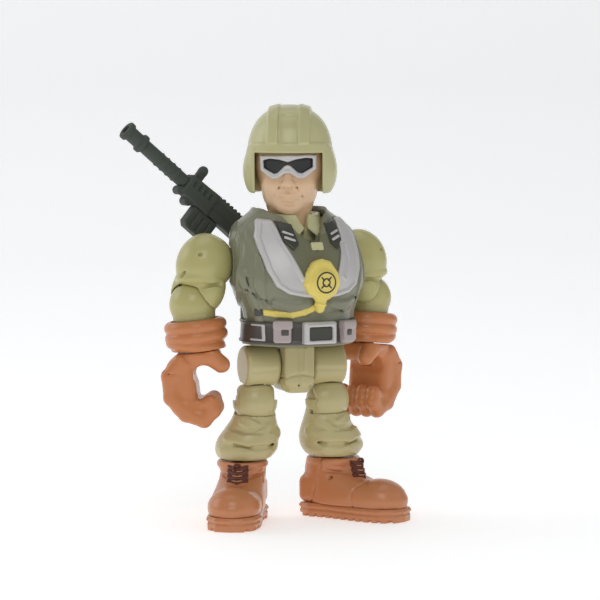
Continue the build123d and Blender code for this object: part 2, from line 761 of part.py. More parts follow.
def glove():
    """The gloved hand, curled round its grip, about the middle of the grip."""
    top = grip_below_cuff - cuff_height / 2 - part_gap
    outline = [(-9.6, top), (-12.6, 3.0), (-13.8, -2.0), (-12.8, -7.2), (-6.4, -14.6), (-2.2, -16.8),
               (2.6, -15.0), (4.6, -9.6), (4.4, -3.0), (6.6, 3.0), (6.0, top)]
    half = hand_width / 2
    face = make_face(Polyline([(x, 0, z) for x, z in outline], close=True))
    body = Pos(0, -half, 0) * extrude(face, amount=hand_width, dir=(0, 1, 0))
    body = chamfer(body.faces().sort_by(Axis.Y)[0].edges() + body.faces().sort_by(Axis.Y)[-1].edges(), 1.8)
    opening = block((0, -20, -3.9), (20, 20, 2.0))
    grip = rod_y((0, 0, 0), grip_radius, 40)
    thumb = Pos(6.4, 3.6, 4.4) * Rot(0, 42, 0) * (
        Cylinder(3.1, 5.0) + Pos(0, 0, 2.5) * Sphere(3.1) + Pos(0, 0, -2.5) * Sphere(3.1))
    bore = Pos(-grip_offset, 0, top + 1) * Cylinder(
        wrist_peg_radius + running_fit, 5.6, align=(Align.CENTER, Align.CENTER, Align.MAX))
    under_cuff = block((-30, -30, -30), (30, 30, top))
    return ((body - opening + thumb) & under_cuff) - grip - bore


def build_arms(nodes):
    """Both arms."""
    pieces = {
        "shoulder_peg": shoulder_peg(),
        "upper_arm": upper_arm(),
        "elbow_pin": elbow_place() * elbow_pin(),
        "forearm": elbow_place() * forearm(),
        "glove_cuff": elbow_place() * glove_cuff(),
        "glove": grip_place() * glove(),
    }
    for side in ("left", "right"):
        for name, shape in pieces.items():
            keep(f"{side}_{name}", side_of(shape, side), nodes)


# ---------------------------------------------------------------- rifle

def rifle_block(low_s, high_s, low_t, high_t, thickness):
    """A block along the rifle: s towards the muzzle, t towards its top."""
    return block((low_s, -thickness / 2, low_t), (high_s, thickness / 2, high_t))


def rifle_pieces():
    """The rifle's pieces along its own barrel, muzzle towards +X, top towards +Z."""
    rear = -receiver_length / 2 - 2
    front = rear + receiver_length
    guard_end = front + handguard_length
    barrel_end = guard_end + barrel_length
    receiver = rifle_block(rear, front + 6.4, -3.6, 3.0, rifle_thickness)
    guard = rifle_block(front + 6.4, guard_end, -4.0, 3.8, rifle_thickness + 1.2)
    grip = Pos(rear + 5, 0, -5.6) * Rot(0, -14, 0) * Box(4.0, rifle_thickness - 0.8, 7.0)
    knobs = rod_y((guard_end, 0, -3.2), 1.4, rifle_thickness - 1.6)
    knobs += rod_y((guard_end - 4.0, 0, -4.2), 1.6, rifle_thickness - 1.2)
    receiver = receiver + guard + grip + knobs
    barrel = rod_x(((guard_end + barrel_end) / 2, 0, 0), barrel_radius, barrel_length) - receiver
    muzzle = rod_x((barrel_end + muzzle_length / 2, 0, 0), barrel_radius + 0.1, muzzle_length)
    muzzle += rod_x((barrel_end + 0.8, 0, 0), barrel_radius + 0.8, 1.6)
    muzzle += rod_x((barrel_end + muzzle_length - 0.8, 0, 0), barrel_radius + 0.7, 1.6)
    muzzle -= rod_x((barrel_end + muzzle_length, 0, 0), 1.3, 6)
    magazine = rifle_block(front + 1.6, front + 11.2, -10.6, -3.6, rifle_thickness - 0.4) - receiver
    stock = rifle_block(-stock_length, rear, -2.6, 2.2, rifle_thickness - 0.6)
    stock += rifle_block(-stock_length, -stock_length + 8, -6.4, 2.8, rifle_thickness)
    stock += rifle_block(-stock_length + 7, -stock_length + 14, -4.6, 2.2, rifle_thickness - 0.6)
    rail = rifle_block(clip_length / 2 + moving_gap, front + 5.6, 2.0, 4.4, 2.4)
    rear_sight = rifle_block(rear + 5, -clip_length / 2 - moving_gap - 1.4, 2.0, 7.0, 2.6)
    front_sight = rifle_block(guard_end - 4.2, guard_end - 1.2, 3.0, 6.6, 2.0)
    front_sight += rod_y((guard_end - 2.7, 0, 6.6), 1.6, 2.8)
    sights = rail + rear_sight + front_sight - receiver
    return {
        "rifle_receiver": receiver,
        "rifle_barrel": barrel,
        "rifle_muzzle": muzzle,
        "rifle_magazine": magazine,
        "rifle_stock": stock,
        "rifle_sights": sights,
    }


def rifle_clip():
    """Spring cradle round the receiver, on a stud that turns in the pack."""
    half = rifle_thickness / 2 + running_fit
    length = clip_length / 2
    cradle = block((-length, 1.0 - half, -4.9), (length, half + clip_wall, 4.2))
    cradle -= block((-length - 1, -half - 5, -3.6 - running_fit), (length + 1, half, 3.0 + running_fit))
    stud_reach = rifle_y - half - clip_wall - pack_back + clip_stud_length
    stud = rod_y((0, half + clip_wall + stud_reach / 2, 0), clip_stud_radius, stud_reach)
    return cradle + stud


def build_rifle(nodes):
    """The rifle on its clip."""
    for name, shape in rifle_pieces().items():
        keep(name, shape, nodes, rifle_frame)
    keep("rifle_clip", rifle_clip(), nodes, rifle_frame)


def main():
    os.makedirs("parts", exist_ok=True)
    nodes = {}
    build_legs(nodes)
    build_torso(nodes)
    build_head(nodes)
    build_arms(nodes)
    build_rifle(nodes)
    boxes = [shape.bounding_box() for shape in nodes.values()]
    middle_x = (min(box.min.X for box in boxes) + max(box.max.X for box in boxes)) / 2
    middle_y = (min(box.min.Y for box in boxes) + max(box.max.Y for box in boxes)) / 2
    for name, shape in nodes.items():
        export_step(shape.moved(Pos(-middle_x, -middle_y, 0)), f"parts/{name}.step")


main()
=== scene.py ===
"""A posable plastic flyer figure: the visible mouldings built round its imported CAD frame.

Shapes are drawn as signed distances in millimetres, in the frame of the limb that they belong to,
then skinned with a closed mesh and placed in metres on the CAD body that moves them.
"""
import json
import logging
import math
from dataclasses import dataclass, field
from enum import Enum
from typing import Callable, Sequence

import bpy
import mathutils
import numpy as np
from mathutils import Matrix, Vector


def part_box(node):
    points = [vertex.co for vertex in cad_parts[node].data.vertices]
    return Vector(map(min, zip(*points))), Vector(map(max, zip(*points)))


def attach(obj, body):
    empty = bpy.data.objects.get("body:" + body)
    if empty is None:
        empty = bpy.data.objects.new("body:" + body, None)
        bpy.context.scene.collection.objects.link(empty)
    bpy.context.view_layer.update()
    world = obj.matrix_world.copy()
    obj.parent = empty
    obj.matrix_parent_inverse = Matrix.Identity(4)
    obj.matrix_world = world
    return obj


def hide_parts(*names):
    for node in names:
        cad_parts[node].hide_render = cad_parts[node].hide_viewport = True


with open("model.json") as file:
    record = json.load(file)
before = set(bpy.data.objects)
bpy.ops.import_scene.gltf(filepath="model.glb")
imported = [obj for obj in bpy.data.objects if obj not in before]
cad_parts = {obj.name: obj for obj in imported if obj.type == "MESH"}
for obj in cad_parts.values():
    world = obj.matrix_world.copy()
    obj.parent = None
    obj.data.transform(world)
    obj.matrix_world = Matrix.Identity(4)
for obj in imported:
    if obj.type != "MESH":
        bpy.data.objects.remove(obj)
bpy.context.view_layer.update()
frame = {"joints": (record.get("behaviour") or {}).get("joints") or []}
log = logging.getLogger("figure")

MM = 0.001
Points = np.ndarray
Field = Callable[[Points], np.ndarray]
Vec = tuple[float, float, float]


# ------------------------------------------------------------------ places

@dataclass(frozen=True)
class Place:
    """Where a limb's own frame lies: an origin in millimetres and three unit axes as rows."""

    origin: np.ndarray
    axes: np.ndarray

    def to_world(self, points: Points) -> Points:
        """Points of this frame as points of the whole figure, still in millimetres."""
        return points @ self.axes + self.origin

    def to_local(self, points: Points) -> Points:
        """Points of the whole figure as points of this frame."""
        return (points - self.origin) @ self.axes.T


def spun(origin: Sequence[float], degrees: float) -> Place:
    """A frame turned about the vertical.

    Args:
        origin: its origin in millimetres.
        degrees: its turn about +Z.

    Returns:
        The frame.
    """
    c, s = math.cos(math.radians(degrees)), math.sin(math.radians(degrees))
    return Place(np.array(origin, float), np.array([(c, s, 0), (-s, c, 0), (0, 0, 1)], float))




def joint(name: str) -> dict:
    """The frame's joint of that name."""
    return next(j for j in frame["joints"] if j["name"] == name)


def pivot(name: str) -> np.ndarray:
    """A joint's point in millimetres."""
    return np.array(joint(name)["pos_m"]) / MM


def axis_of(name: str) -> np.ndarray:
    """A joint's direction as a unit vector."""
    axis = np.array(joint(name)["axis"], float)
    return axis / np.linalg.norm(axis)


def node_box(name: str) -> tuple[np.ndarray, np.ndarray]:
    """A CAD node's lowest and highest corners in millimetres."""
    low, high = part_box(name)
    return np.array(low) / MM, np.array(high) / MM


WORLD = spun(pivot("waist_turn") - np.array([0.0, 1.0, 54.6]), 0)


# ------------------------------------------------------------------ shapes as distances

def soft_min(a: np.ndarray, b: np.ndarray, blend: float) -> np.ndarray:
    """The smaller of two distances, rounded over a width.

    Args:
        a: distances to the first shape.
        b: distances to the second shape.
        blend: width of the rounding in millimetres.

    Returns:
        The joined distances.
    """
    if blend <= 0:
        return np.minimum(a, b)
    h = np.clip(0.5 + 0.5 * (b - a) / blend, 0, 1)
    return b + (a - b) * h - blend * h * (1 - h)


@dataclass(frozen=True)
class Form:
    """A shape as a signed distance in millimetres, negative inside."""

    distance: Field

    def join(self, *others: "Form", blend: float = 0.0) -> "Form":
        """This shape with others added, the meeting lines filled by the blend."""
        def measure(p: Points) -> np.ndarray:
            """Signed distance at each point."""
            total = self.distance(p)
            for other in others:
                total = soft_min(total, other.distance(p), blend)
            return total
        return Form(measure)

    def carve(self, *tools: "Form", blend: float = 0.0) -> "Form":
        """This shape with others cut away, the edges eased by the blend."""
        def measure(p: Points) -> np.ndarray:
            """Signed distance at each point."""
            total = self.distance(p)
            for tool in tools:
                total = -soft_min(-total, tool.distance(p), blend)
            return total
        return Form(measure)

    def keep(self, *tools: "Form", blend: float = 0.0) -> "Form":
        """What this shape shares with every other, the edges eased by the blend."""
        def measure(p: Points) -> np.ndarray:
            """Signed distance at each point."""
            total = self.distance(p)
            for tool in tools:
                total = -soft_min(-total, -tool.distance(p), blend)
            return total
        return Form(measure)

    def grow(self, amount: float) -> "Form":
        """This shape with its skin moved out, or in if negative."""
        return Form(lambda p: self.distance(p) - amount)

    def placed(self, place: Place) -> "Form":
        """This shape drawn in a limb's frame, as seen from the frame round it."""
        return Form(lambda p: self.distance(place.to_local(p)))

    def both_sides(self) -> "Form":
        """This shape and its mirror image across x = 0."""
        return Form(lambda p: self.distance(np.abs(p) * (1, 0, 0) + p * (0, 1, 1)))


def ball(centre: Vec, radius: float) -> Form:
    """A sphere."""
    c = np.array(centre, float)
    return Form(lambda p: np.linalg.norm(p - c, axis=1) - radius)


def oval(centre: Vec, radii: Vec) -> Form:
    """An ellipsoid.

    Args:
        centre: its middle.
        radii: its three half-sizes.

    Returns:
        The shape, with a distance that is true near its skin.
    """
    c, r = np.array(centre, float), np.array(radii, float)

    def measure(p: Points) -> np.ndarray:
        """Signed distance at each point."""
        q = p - c
        k0 = np.linalg.norm(q / r, axis=1)
        k1 = np.linalg.norm(q / (r * r), axis=1)
        return np.where(k1 > 1e-9, k0 * (k0 - 1) / np.maximum(k1, 1e-9), -r.min())
    return Form(measure)


def rod(a: Vec, b: Vec, radius: float, end_radius: float | None = None) -> Form:
    """A round-ended rod, tapered if it has an end radius.

    Args:
        a: its first end.
        b: its second end.
        radius: its radius at the first end.
        end_radius: its radius at the second end, or None for the same.

    Returns:
        The shape.
    """
    start, run = np.array(a, float), np.array(b, float) - np.array(a, float)
    last = radius if end_radius is None else end_radius

    def measure(p: Points) -> np.ndarray:
        """Signed distance at each point."""
        q = p - start
        t = np.clip(q @ run / max(run @ run, 1e-9), 0, 1)
        return np.linalg.norm(q - t[:, None] * run, axis=1) - (radius + (last - radius) * t)
    return Form(measure)


def chain(points: Sequence[Vec], radius: float, blend: float = 0.0) -> Form:
    """Rods through a row of points."""
    rods = [rod(a, b, radius) for a, b in zip(points, points[1:])]
    return rods[0].join(*rods[1:], blend=blend)


def slab(centre: Vec, half: Vec, rounding: float = 0.0, turn: Vec = (0, 0, 0)) -> Form:
    """A box with rounded edges.

    Args:
        centre: its middle.
        half: its three half-sizes, rounding included.
        rounding: radius of its edges.
        turn: turns about X, Y and Z in degrees, applied in that order.

    Returns:
        The shape.
    """
    c, h = np.array(centre, float), np.array(half, float) - rounding
    turned = turn_matrix(turn)

    def measure(p: Points) -> np.ndarray:
        """Signed distance at each point."""
        q = np.abs((p - c) @ turned) - h
        outside = np.linalg.norm(np.maximum(q, 0), axis=1)
        return outside + np.minimum(q.max(axis=1), 0) - rounding
    return Form(measure)


def turn_matrix(turn: Vec) -> np.ndarray:
    """The matrix of turns about X, Y and Z in degrees, applied in that order."""
    matrix = np.eye(3)
    for i, degrees in enumerate(turn):
        c, s = math.cos(math.radians(degrees)), math.sin(math.radians(degrees))
        j, k = (i + 1) % 3, (i + 2) % 3
        step = np.eye(3)
        step[j, j], step[j, k], step[k, j], step[k, k] = c, -s, s, c
        matrix = step @ matrix
    return matrix


def drum(centre: Vec, axis: Vec, radius: float, half: float, rounding: float = 0.0) -> Form:
    """A round disc or tube blank.

    Args:
        centre: its middle.
        axis: the direction of its axis.
        radius: its radius.
        half: half its length.
        rounding: radius of its rims.

    Returns:
        The shape.
    """
    c, a = np.array(centre, float), np.array(axis, float)
    a /= np.linalg.norm(a)

    def measure(p: Points) -> np.ndarray:
        """Signed distance at each point."""
        q = p - c
        along = q @ a
        across = np.linalg.norm(q - along[:, None] * a, axis=1)
        d = np.stack([across - radius + rounding, np.abs(along) - half + rounding], axis=1)
        return np.linalg.norm(np.maximum(d, 0), axis=1) + np.minimum(d.max(axis=1), 0) - rounding
    return Form(measure)


def hoop(centre: Vec, axis: Vec, radius: float, thickness: float, squash: float = 1.0) -> Form:
    """A ring with a round or flattened section.

    Args:
        centre: its middle.
        axis: the direction of its axis.
        radius: from the middle to the middle of its section.
        thickness: half the section's thickness across the ring.
        squash: how much taller the section is along the axis.

    Returns:
        The shape.
    """
    c, a = np.array(centre, float), np.array(axis, float)
    a /= np.linalg.norm(a)

    def measure(p: Points) -> np.ndarray:
        """Signed distance at each point."""
        q = p - c
        along = q @ a
        across = np.linalg.norm(q - along[:, None] * a, axis=1)
        return np.hypot(across - radius, along / squash) - thickness
    return Form(measure)


def outline_distance(u: np.ndarray, v: np.ndarray, points: Sequence[tuple[float, float]]) -> np.ndarray:
    """Signed distance from a closed outline in a plane.

    Args:
        u: first coordinates.
        v: second coordinates.
        points: the outline's corners in order.

    Returns:
        The distances, negative inside.
    """
    corners = np.array(points, float)
    best = np.full(u.shape, 1e9)
    inside = np.zeros(u.shape, bool)
    for (x0, y0), (x1, y1) in zip(corners, np.roll(corners, -1, axis=0)):
        ex, ey = x1 - x0, y1 - y0
        wx, wy = u - x0, v - y0
        t = np.clip((wx * ex + wy * ey) / max(ex * ex + ey * ey, 1e-9), 0, 1)
        best = np.minimum(best, np.hypot(wx - t * ex, wy - t * ey))
        if y0 != y1:
            inside ^= ((y0 > v) != (y1 > v)) & (u < ex * (v - y0) / ey + x0)
    return np.where(inside, -best, best)


def prism(points: Sequence[tuple[float, float]], plane: str, low: float, high: float,
          rounding: float = 0.0) -> Form:
    """An outline given thickness.

    Args:
        points: the outline's corners.
        plane: the two axes that the outline is drawn on, such as "xz".
        low: where the solid starts along the third axis.
        high: where it ends.
        rounding: radius of its edges.

    Returns:
        The shape.
    """
    i, j = "xyz".index(plane[0]), "xyz".index(plane[1])
    k = 3 - i - j
    middle, half = (low + high) / 2, (high - low) / 2

    def measure(p: Points) -> np.ndarray:
        """Signed distance at each point."""
        flat = outline_distance(p[:, i], p[:, j], points) + rounding
        deep = np.abs(p[:, k] - middle) - half + rounding
        d = np.stack([flat, deep], axis=1)
        return np.linalg.norm(np.maximum(d, 0), axis=1) + np.minimum(d.max(axis=1), 0) - rounding
    return Form(measure)


def column(rows: Sequence[tuple[float, ...]], power: float = 2.0, rounding: float = 0.6) -> Form:
    """An upright body through level ovals.

    Args:
        rows: (height, middle x, middle y, half width, half depth) from the bottom up.
        power: 2 for ovals, more for squarer ones.
        rounding: radius of its top and bottom rims.

    Returns:
        The shape.
    """
    table = np.array(rows, float)
    z0, z1 = table[0, 0], table[-1, 0]

    def measure(p: Points) -> np.ndarray:
        """Signed distance at each point."""
        mx, my, rx, ry = (eased(table[:, 0], table[:, i], p[:, 2]) for i in (1, 2, 3, 4))
        x, y = np.abs(p[:, 0] - mx), np.abs(p[:, 1] - my)
        q = ((x / rx) ** power + (y / ry) ** power) ** (1 / power)
        far = np.hypot(x, y)
        side = np.where(q > 0.05, far * (1 - 1 / np.maximum(q, 0.05)), -np.minimum(rx, ry)) + rounding
        end = np.maximum(z0 - p[:, 2], p[:, 2] - z1) + rounding
        d = np.stack([side, end], axis=1)
        return np.linalg.norm(np.maximum(d, 0), axis=1) + np.minimum(d.max(axis=1), 0) - rounding
    return Form(measure)


def dome(centre: Vec, radii: Vec, power: float) -> Form:
    """An ellipsoid squared off towards its top and bottom.

    Args:
        centre: its middle.
        radii: its three half-sizes.
        power: 2 for a true ellipsoid, more for a squarer one.

    Returns:
        The shape.
    """
    c, r = np.array(centre, float), np.array(radii, float)

    def measure(p: Points) -> np.ndarray:
        """Signed distance at each point."""
        q = np.abs(p - c) / r
        level = np.hypot(q[:, 0], q[:, 1])
        g = np.maximum((level ** power + q[:, 2] ** power) ** (1 / power), 0.05)
        return np.linalg.norm(p - c, axis=1) * (1 - 1 / g)
    return Form(measure)


def bead(first: Form, second: Form, thickness: float) -> Form:
    """A round cord along the line where two skins cross."""
    return Form(lambda p: np.hypot(first.distance(p), second.distance(p)) - thickness)


def beyond(axis: str, value: float) -> Form:
    """Everything above a value on an axis, or below it if the axis has a minus sign."""
    sign = -1 if axis[0] == "-" else 1
    i = "xyz".index(axis[-1])
    return Form(lambda p: sign * (value - p[:, i]))


def eased(knots: Sequence[float], values: Sequence[float], at: np.ndarray) -> np.ndarray:
    """A smooth curve through knots, read at many places.

    Args:
        knots: rising places.
        values: the curve's values there.
        at: where to read it.

    Returns:
        The values, held level past both ends.
    """
    x, y = np.array(knots, float), np.array(values, float)
    slope = np.gradient(y, x)
    at = np.clip(at, x[0], x[-1])
    i = np.clip(np.searchsorted(x, at) - 1, 0, len(x) - 2)
    width = x[i + 1] - x[i]
    t = (at - x[i]) / width
    a, b = y[i], y[i + 1]
    return ((1 + 2 * t) * (1 - t) ** 2 * a + t * (1 - t) ** 2 * width * slope[i]
            + t * t * (3 - 2 * t) * b + t * t * (t - 1) * width * slope[i + 1])


# ------------------------------------------------------------------ skins

def sample_grid(form: Form, low: np.ndarray, high: np.ndarray, cell: float) -> tuple[np.ndarray, np.ndarray]:
    """Distances on a grid, worked out in full only near the skin.

    Args:
        form: the shape.
        low: lowest corner of the grid.
        high: highest corner it has to reach.
        cell: the grid's step in millimetres.

    Returns:
        The grid of distances and its lowest corner.
    """
    size = 8
    blocks = np.ceil((high - low) / (cell * size)).astype(int) + 1
    axes = [low[i] + (np.arange(blocks[i]) + 0.5) * cell * size - cell / 2 for i in range(3)]
    centres = np.stack(np.meshgrid(*axes, indexing="ij"), axis=-1).reshape(-1, 3)
    coarse = form.distance(centres).reshape(blocks)
    near = np.abs(coarse) < cell * size * 1.5
    values = np.repeat(np.repeat(np.repeat(coarse, size, 0), size, 1), size, 2)
    index = np.argwhere(near)
    offsets = np.stack(np.meshgrid(*[np.arange(size)] * 3, indexing="ij"), axis=-1).reshape(-1, 3)
    cells = (index[:, None, :] * size + offsets[None]).reshape(-1, 3)
    fine = np.concatenate([form.distance(low + part * cell) for part in np.array_split(cells,
                                                                                       max(1, len(cells) // 200000))])
    values[cells[:, 0], cells[:, 1], cells[:, 2]] = fine
    return values, low


def skin(form: Form, low: Sequence[float], high: Sequence[float], cell: float) -> tuple[Points, np.ndarray]:
    """A closed quad mesh on a shape's skin, by surface nets.

    Args:
        form: the shape.
        low: a corner below it.
        high: a corner above it.
        cell: size of the quads in millimetres.

    Returns:
        The points and the quads' point numbers.
    """
    pad = 1.5 * cell
    values, origin = sample_grid(form, np.array(low, float) - pad, np.array(high, float) + pad, cell)
    inside = values < 0
    corner = [inside[i:i - 1 or None, j:j - 1 or None, k:k - 1 or None]
              for i in (0, 1) for j in (0, 1) for k in (0, 1)]
    total = sum(c.astype(np.int8) for c in corner)
    active = (total > 0) & (total < 8)
    cells = np.argwhere(active)
    number = np.full(active.shape, -1, np.int64)
    number[active] = np.arange(len(cells))
    position = np.zeros((len(cells), 3))
    count = np.zeros(len(cells))
    for axis in range(3):
        others = [a for a in range(3) if a != axis]
        for da in (0, 1):
            for db in (0, 1):
                shift = np.zeros(3, int)
                shift[others[0]], shift[others[1]] = da, db
                start = cells + shift
                end = start.copy()
                end[:, axis] += 1
                a, b = values[tuple(start.T)], values[tuple(end.T)]
                crossing = (a < 0) != (b < 0)
                t = np.where(crossing, a / np.where(crossing, a - b, 1), 0)
                point = start + np.eye(3)[axis] * t[:, None]
                position += point * crossing[:, None]
                count += crossing
    points = origin + position / count[:, None] * cell
    faces = []
    for axis in range(3):
        b, c = (axis + 1) % 3, (axis + 2) % 3
        first = np.moveaxis(inside, axis, 0)
        flips = np.argwhere(np.moveaxis(first[:-1] != first[1:], 0, axis))
        flips = flips[(flips[:, b] > 0) & (flips[:, c] > 0)]
        flips = flips[(flips[:, b] < active.shape[b]) & (flips[:, c] < active.shape[c])]
        corners = []
        for db, dc in ((1, 1), (0, 1), (0, 0), (1, 0)):
            shift = np.zeros(3, int)
            shift[b], shift[c] = db, dc
            corners.append(number[tuple((flips - shift).T)])
        quads = np.stack(corners, axis=1)
        outward = inside[tuple(flips.T)]
        faces.append(np.where(outward[:, None], quads, quads[:, ::-1]))
    return settle(form, points, cell), np.concatenate(faces)


def slope_at(form: Form, points: Points, step: float) -> np.ndarray:
    """The direction in which a shape's distance rises, at many points."""
    rise = [form.distance(points + d) - form.distance(points - d) for d in np.eye(3) * step]
    return np.stack(rise, axis=1) / (2 * step)


def settle(form: Form, points: Points, cell: float) -> Points:
    """Points moved on to the true skin of a shape."""
    for _ in range(2):
        slope = slope_at(form, points, cell * 0.2)
        steep = np.maximum((slope ** 2).sum(axis=1), 0.2)
        move = -(form.distance(points) / steep)[:, None] * slope
        reach = np.linalg.norm(move, axis=1)
        points = points + move * np.minimum(1, 0.6 * cell / np.maximum(reach, 1e-9))[:, None]
    return points


def hollows(form: Form, points: Points, cell: float) -> tuple[np.ndarray, np.ndarray]:
    """How sunk and how exposed each point of a skin is.

    Args:
        form: the shape.
        points: points on its skin.
        cell: the mesh's cell size.

    Returns:
        Two values from 0 to 1 for each point: in a recess, and on an edge.
    """
    slope = slope_at(form, points, cell * 0.4)
    normal = slope / np.maximum(np.linalg.norm(slope, axis=1), 1e-6)[:, None]
    # The sunk value works like ambient occlusion; the paint uses it to darken recesses as painted shade.
    sunk = np.zeros(len(points))
    for reach, weight in ((0.5, 0.5), (1.1, 0.3), (2.2, 0.2)):
        sunk += weight * np.clip(1 - form.distance(points + normal * reach) / reach, 0, 1)
    proud = np.clip(1 + form.distance(points - normal * 0.6) / 0.6, 0, 1)
    return np.clip(sunk * 1.6, 0, 1), np.clip(proud * 1.8, 0, 1)


# ------------------------------------------------------------------ finishes

class Grain(Enum):
    """How a moulded surface breaks up close to."""

    SMOOTH = "smooth"
    CLOTH = "cloth"
    BRUSHED = "brushed"


def link_nodes(tree: bpy.types.NodeTree, links: Sequence[tuple]) -> None:
    """Join (node, output) to (node, input) pairs in a node tree."""
    for source, out, target, into in links:
        tree.links.new(source.outputs[out], target.inputs[into])


def add_socket(tree: bpy.types.NodeTree, name: str, into: bool, kind: str = "Float",
               value: float | None = None) -> None:
    """Give a node group a named input or output, with a default if there is one."""
    socket = tree.interface.new_socket(name=name, in_out="INPUT" if into else "OUTPUT",
                                       socket_type=f"NodeSocket{kind}")
    if value is not None:
        socket.default_value = value


def make_node(tree: bpy.types.NodeTree, kind: str, **values: object) -> bpy.types.Node:
    """A new node with some of its own settings made."""
    node = tree.nodes.new(kind)
    for name, value in values.items():
        setattr(node, name, value)
    return node


def mix_colours(tree: bpy.types.NodeTree, blend: str = "MIX") -> bpy.types.Node:
    """A node that mixes two colours, its sockets Factor, 6 and 7, its result 2."""
    return make_node(tree, "ShaderNodeMix", data_type="RGBA", blend_type=blend)


def maths(tree: bpy.types.NodeTree, kind: str, second: float | None = None) -> bpy.types.Node:
    """A sum node, its second value set if there is one."""
    node = make_node(tree, "ShaderNodeMath", operation=kind)
    if second is not None:
        node.inputs[1].default_value = second
    return node


def shade_and_edges_group() -> bpy.types.NodeTree:
    """The shared look of the paint: painted shade darkening recesses, paler edges and faint mottling.

    Returns:
        A shader node group giving a colour, a roughness and a bump height.
    """
    name = "Paint wash"
    if name in bpy.data.node_groups:
        return bpy.data.node_groups[name]
    tree = bpy.data.node_groups.new(name, "ShaderNodeTree")
    for label, kind, value in (
            ("Colour", "Color", None), ("Shade", "Color", None), ("Recess Shade", "Float", 0.6),
            ("Edge", "Float", 0.2),
            ("Mottle", "Float", 0.1), ("Roughness", "Float", 0.35), ("Grain Size", "Float", 900.0)):
        add_socket(tree, label, True, kind, value)
    for label, kind in (("Colour", "Color"), ("Roughness", "Float"), ("Height", "Float")):
        add_socket(tree, label, False, kind)
    inp, out = make_node(tree, "NodeGroupInput"), make_node(tree, "NodeGroupOutput")
    cavity = make_node(tree, "ShaderNodeAttribute", attribute_name="cavity")
    edge = make_node(tree, "ShaderNodeAttribute", attribute_name="edge")
    place = make_node(tree, "ShaderNodeTexCoord")
    broad = make_node(tree, "ShaderNodeTexNoise", noise_dimensions="3D")
    broad.inputs["Scale"].default_value = 190.0
    broad.inputs["Detail"].default_value = 3.0
    fine = make_node(tree, "ShaderNodeTexNoise", noise_dimensions="3D")
    fine.inputs["Detail"].default_value = 2.0
    centred, scaled = maths(tree, "SUBTRACT", 0.5), maths(tree, "MULTIPLY")
    lift = maths(tree, "ADD", 1.0)
    toned = mix_colours(tree, "MULTIPLY")
    toned.inputs[0].default_value = 1.0
    grey = make_node(tree, "ShaderNodeCombineColor")
    depth, depth_noise = maths(tree, "MULTIPLY"), maths(tree, "MULTIPLY")
    depth_lift = maths(tree, "ADD", 0.5)
    recess_shaded = mix_colours(tree)
    rubbed, pale = maths(tree, "MULTIPLY"), mix_colours(tree, "SCREEN")
    dim, rough = maths(tree, "MULTIPLY", 0.18), maths(tree, "ADD")
    rough_noise, rough_sum = maths(tree, "MULTIPLY", 0.10), maths(tree, "ADD")
    link_nodes(tree, [
        (place, "Object", broad, "Vector"), (place, "Object", fine, "Vector"),
        (inp, "Grain Size", fine, "Scale"),
        (broad, 0, centred, 0), (centred, 0, scaled, 0), (inp, "Mottle", scaled, 1), (scaled, 0, lift, 0),
        (lift, 0, grey, 0), (lift, 0, grey, 1), (lift, 0, grey, 2),
        (inp, "Colour", toned, 6), (grey, 0, toned, 7),
        # Painted shade: the cavity attribute mixes in the Shade colour, so recesses come out darker.
        (broad, 0, depth_lift, 0), (cavity, "Fac", depth, 0), (inp, "Recess Shade", depth, 1),
        (depth, 0, depth_noise, 0), (depth_lift, 0, depth_noise, 1), (depth_noise, 0, recess_shaded, 0),
        (toned, 2, recess_shaded, 6), (inp, "Shade", recess_shaded, 7),
        (edge, "Fac", rubbed, 0), (inp, "Edge", rubbed, 1), (rubbed, 0, pale, 0),
        (recess_shaded, 2, pale, 6), (inp, "Colour", pale, 7), (pale, 2, out, "Colour"),
        (cavity, "Fac", dim, 0), (inp, "Roughness", rough, 0), (dim, 0, rough, 1),
        (centred, 0, rough_noise, 0), (rough, 0, rough_sum, 0), (rough_noise, 0, rough_sum, 1),
        (rough_sum, 0, out, "Roughness"), (fine, 0, out, "Height")])
    return tree


@dataclass(frozen=True)
class Finish:
    """A paint or plastic: its colour in plain light, a darker colour painted into recesses as shade, and how it
    shines.
    """

    name: str
    colour: Vec
    shade: Vec
    roughness: float = 0.36
    # How strongly the shade colour is painted into recesses as painted shade.
    recess_shade: float = 0.75
    edge: float = 0.25
    mottle: float = 0.16
    metallic: float = 0.0
    coat: float = 0.25
    bump: float = 0.06
    grain: Grain = Grain.SMOOTH

    def material(self) -> bpy.types.Material:
        """This finish as a procedural material, made once."""
        made = bpy.data.materials.get(self.name)
        if made:
            return made
        mat = bpy.data.materials.new(self.name)
        mat.use_nodes = True
        tree = mat.node_tree
        shader = tree.nodes["Principled BSDF"]
        # The group paints shade into recesses and pales the edges.
        recess_shade = make_node(tree, "ShaderNodeGroup", node_tree=shade_and_edges_group())
        size = {Grain.SMOOTH: 900.0, Grain.CLOTH: 2600.0, Grain.BRUSHED: 1600.0}[self.grain]
        for label, value in (("Colour", as_light(self.colour)), ("Shade", as_light(self.shade)),
                             ("Recess Shade", self.recess_shade),
                             ("Edge", self.edge), ("Mottle", self.mottle), ("Roughness", self.roughness),
                             ("Grain Size", size)):
            recess_shade.inputs[label].default_value = value
        bump = make_node(tree, "ShaderNodeBump")
        bump.inputs["Strength"].default_value = self.bump
        bump.inputs["Distance"].default_value = 0.0002
        shader.inputs["Metallic"].default_value = self.metallic
        shader.inputs["Coat Weight"].default_value = self.coat
        shader.inputs["Coat Roughness"].default_value = 0.18
        link_nodes(tree, [(recess_shade, "Colour", shader, "Base Color"), (recess_shade, "Roughness", shader, "Roughness"),
                          (recess_shade, "Height", bump, "Height"), (bump, "Normal", shader, "Normal")])
        return mat


def as_light(colour: Vec) -> tuple[float, float, float, float]:
    """A screen colour from 0 to 255 as the amounts of light that Blender works in."""
    parts = [c / 255 for c in colour]
    return (*[p / 12.92 if p <= 0.04045 else ((p + 0.055) / 1.055) ** 2.4 for p in parts], 1.0)


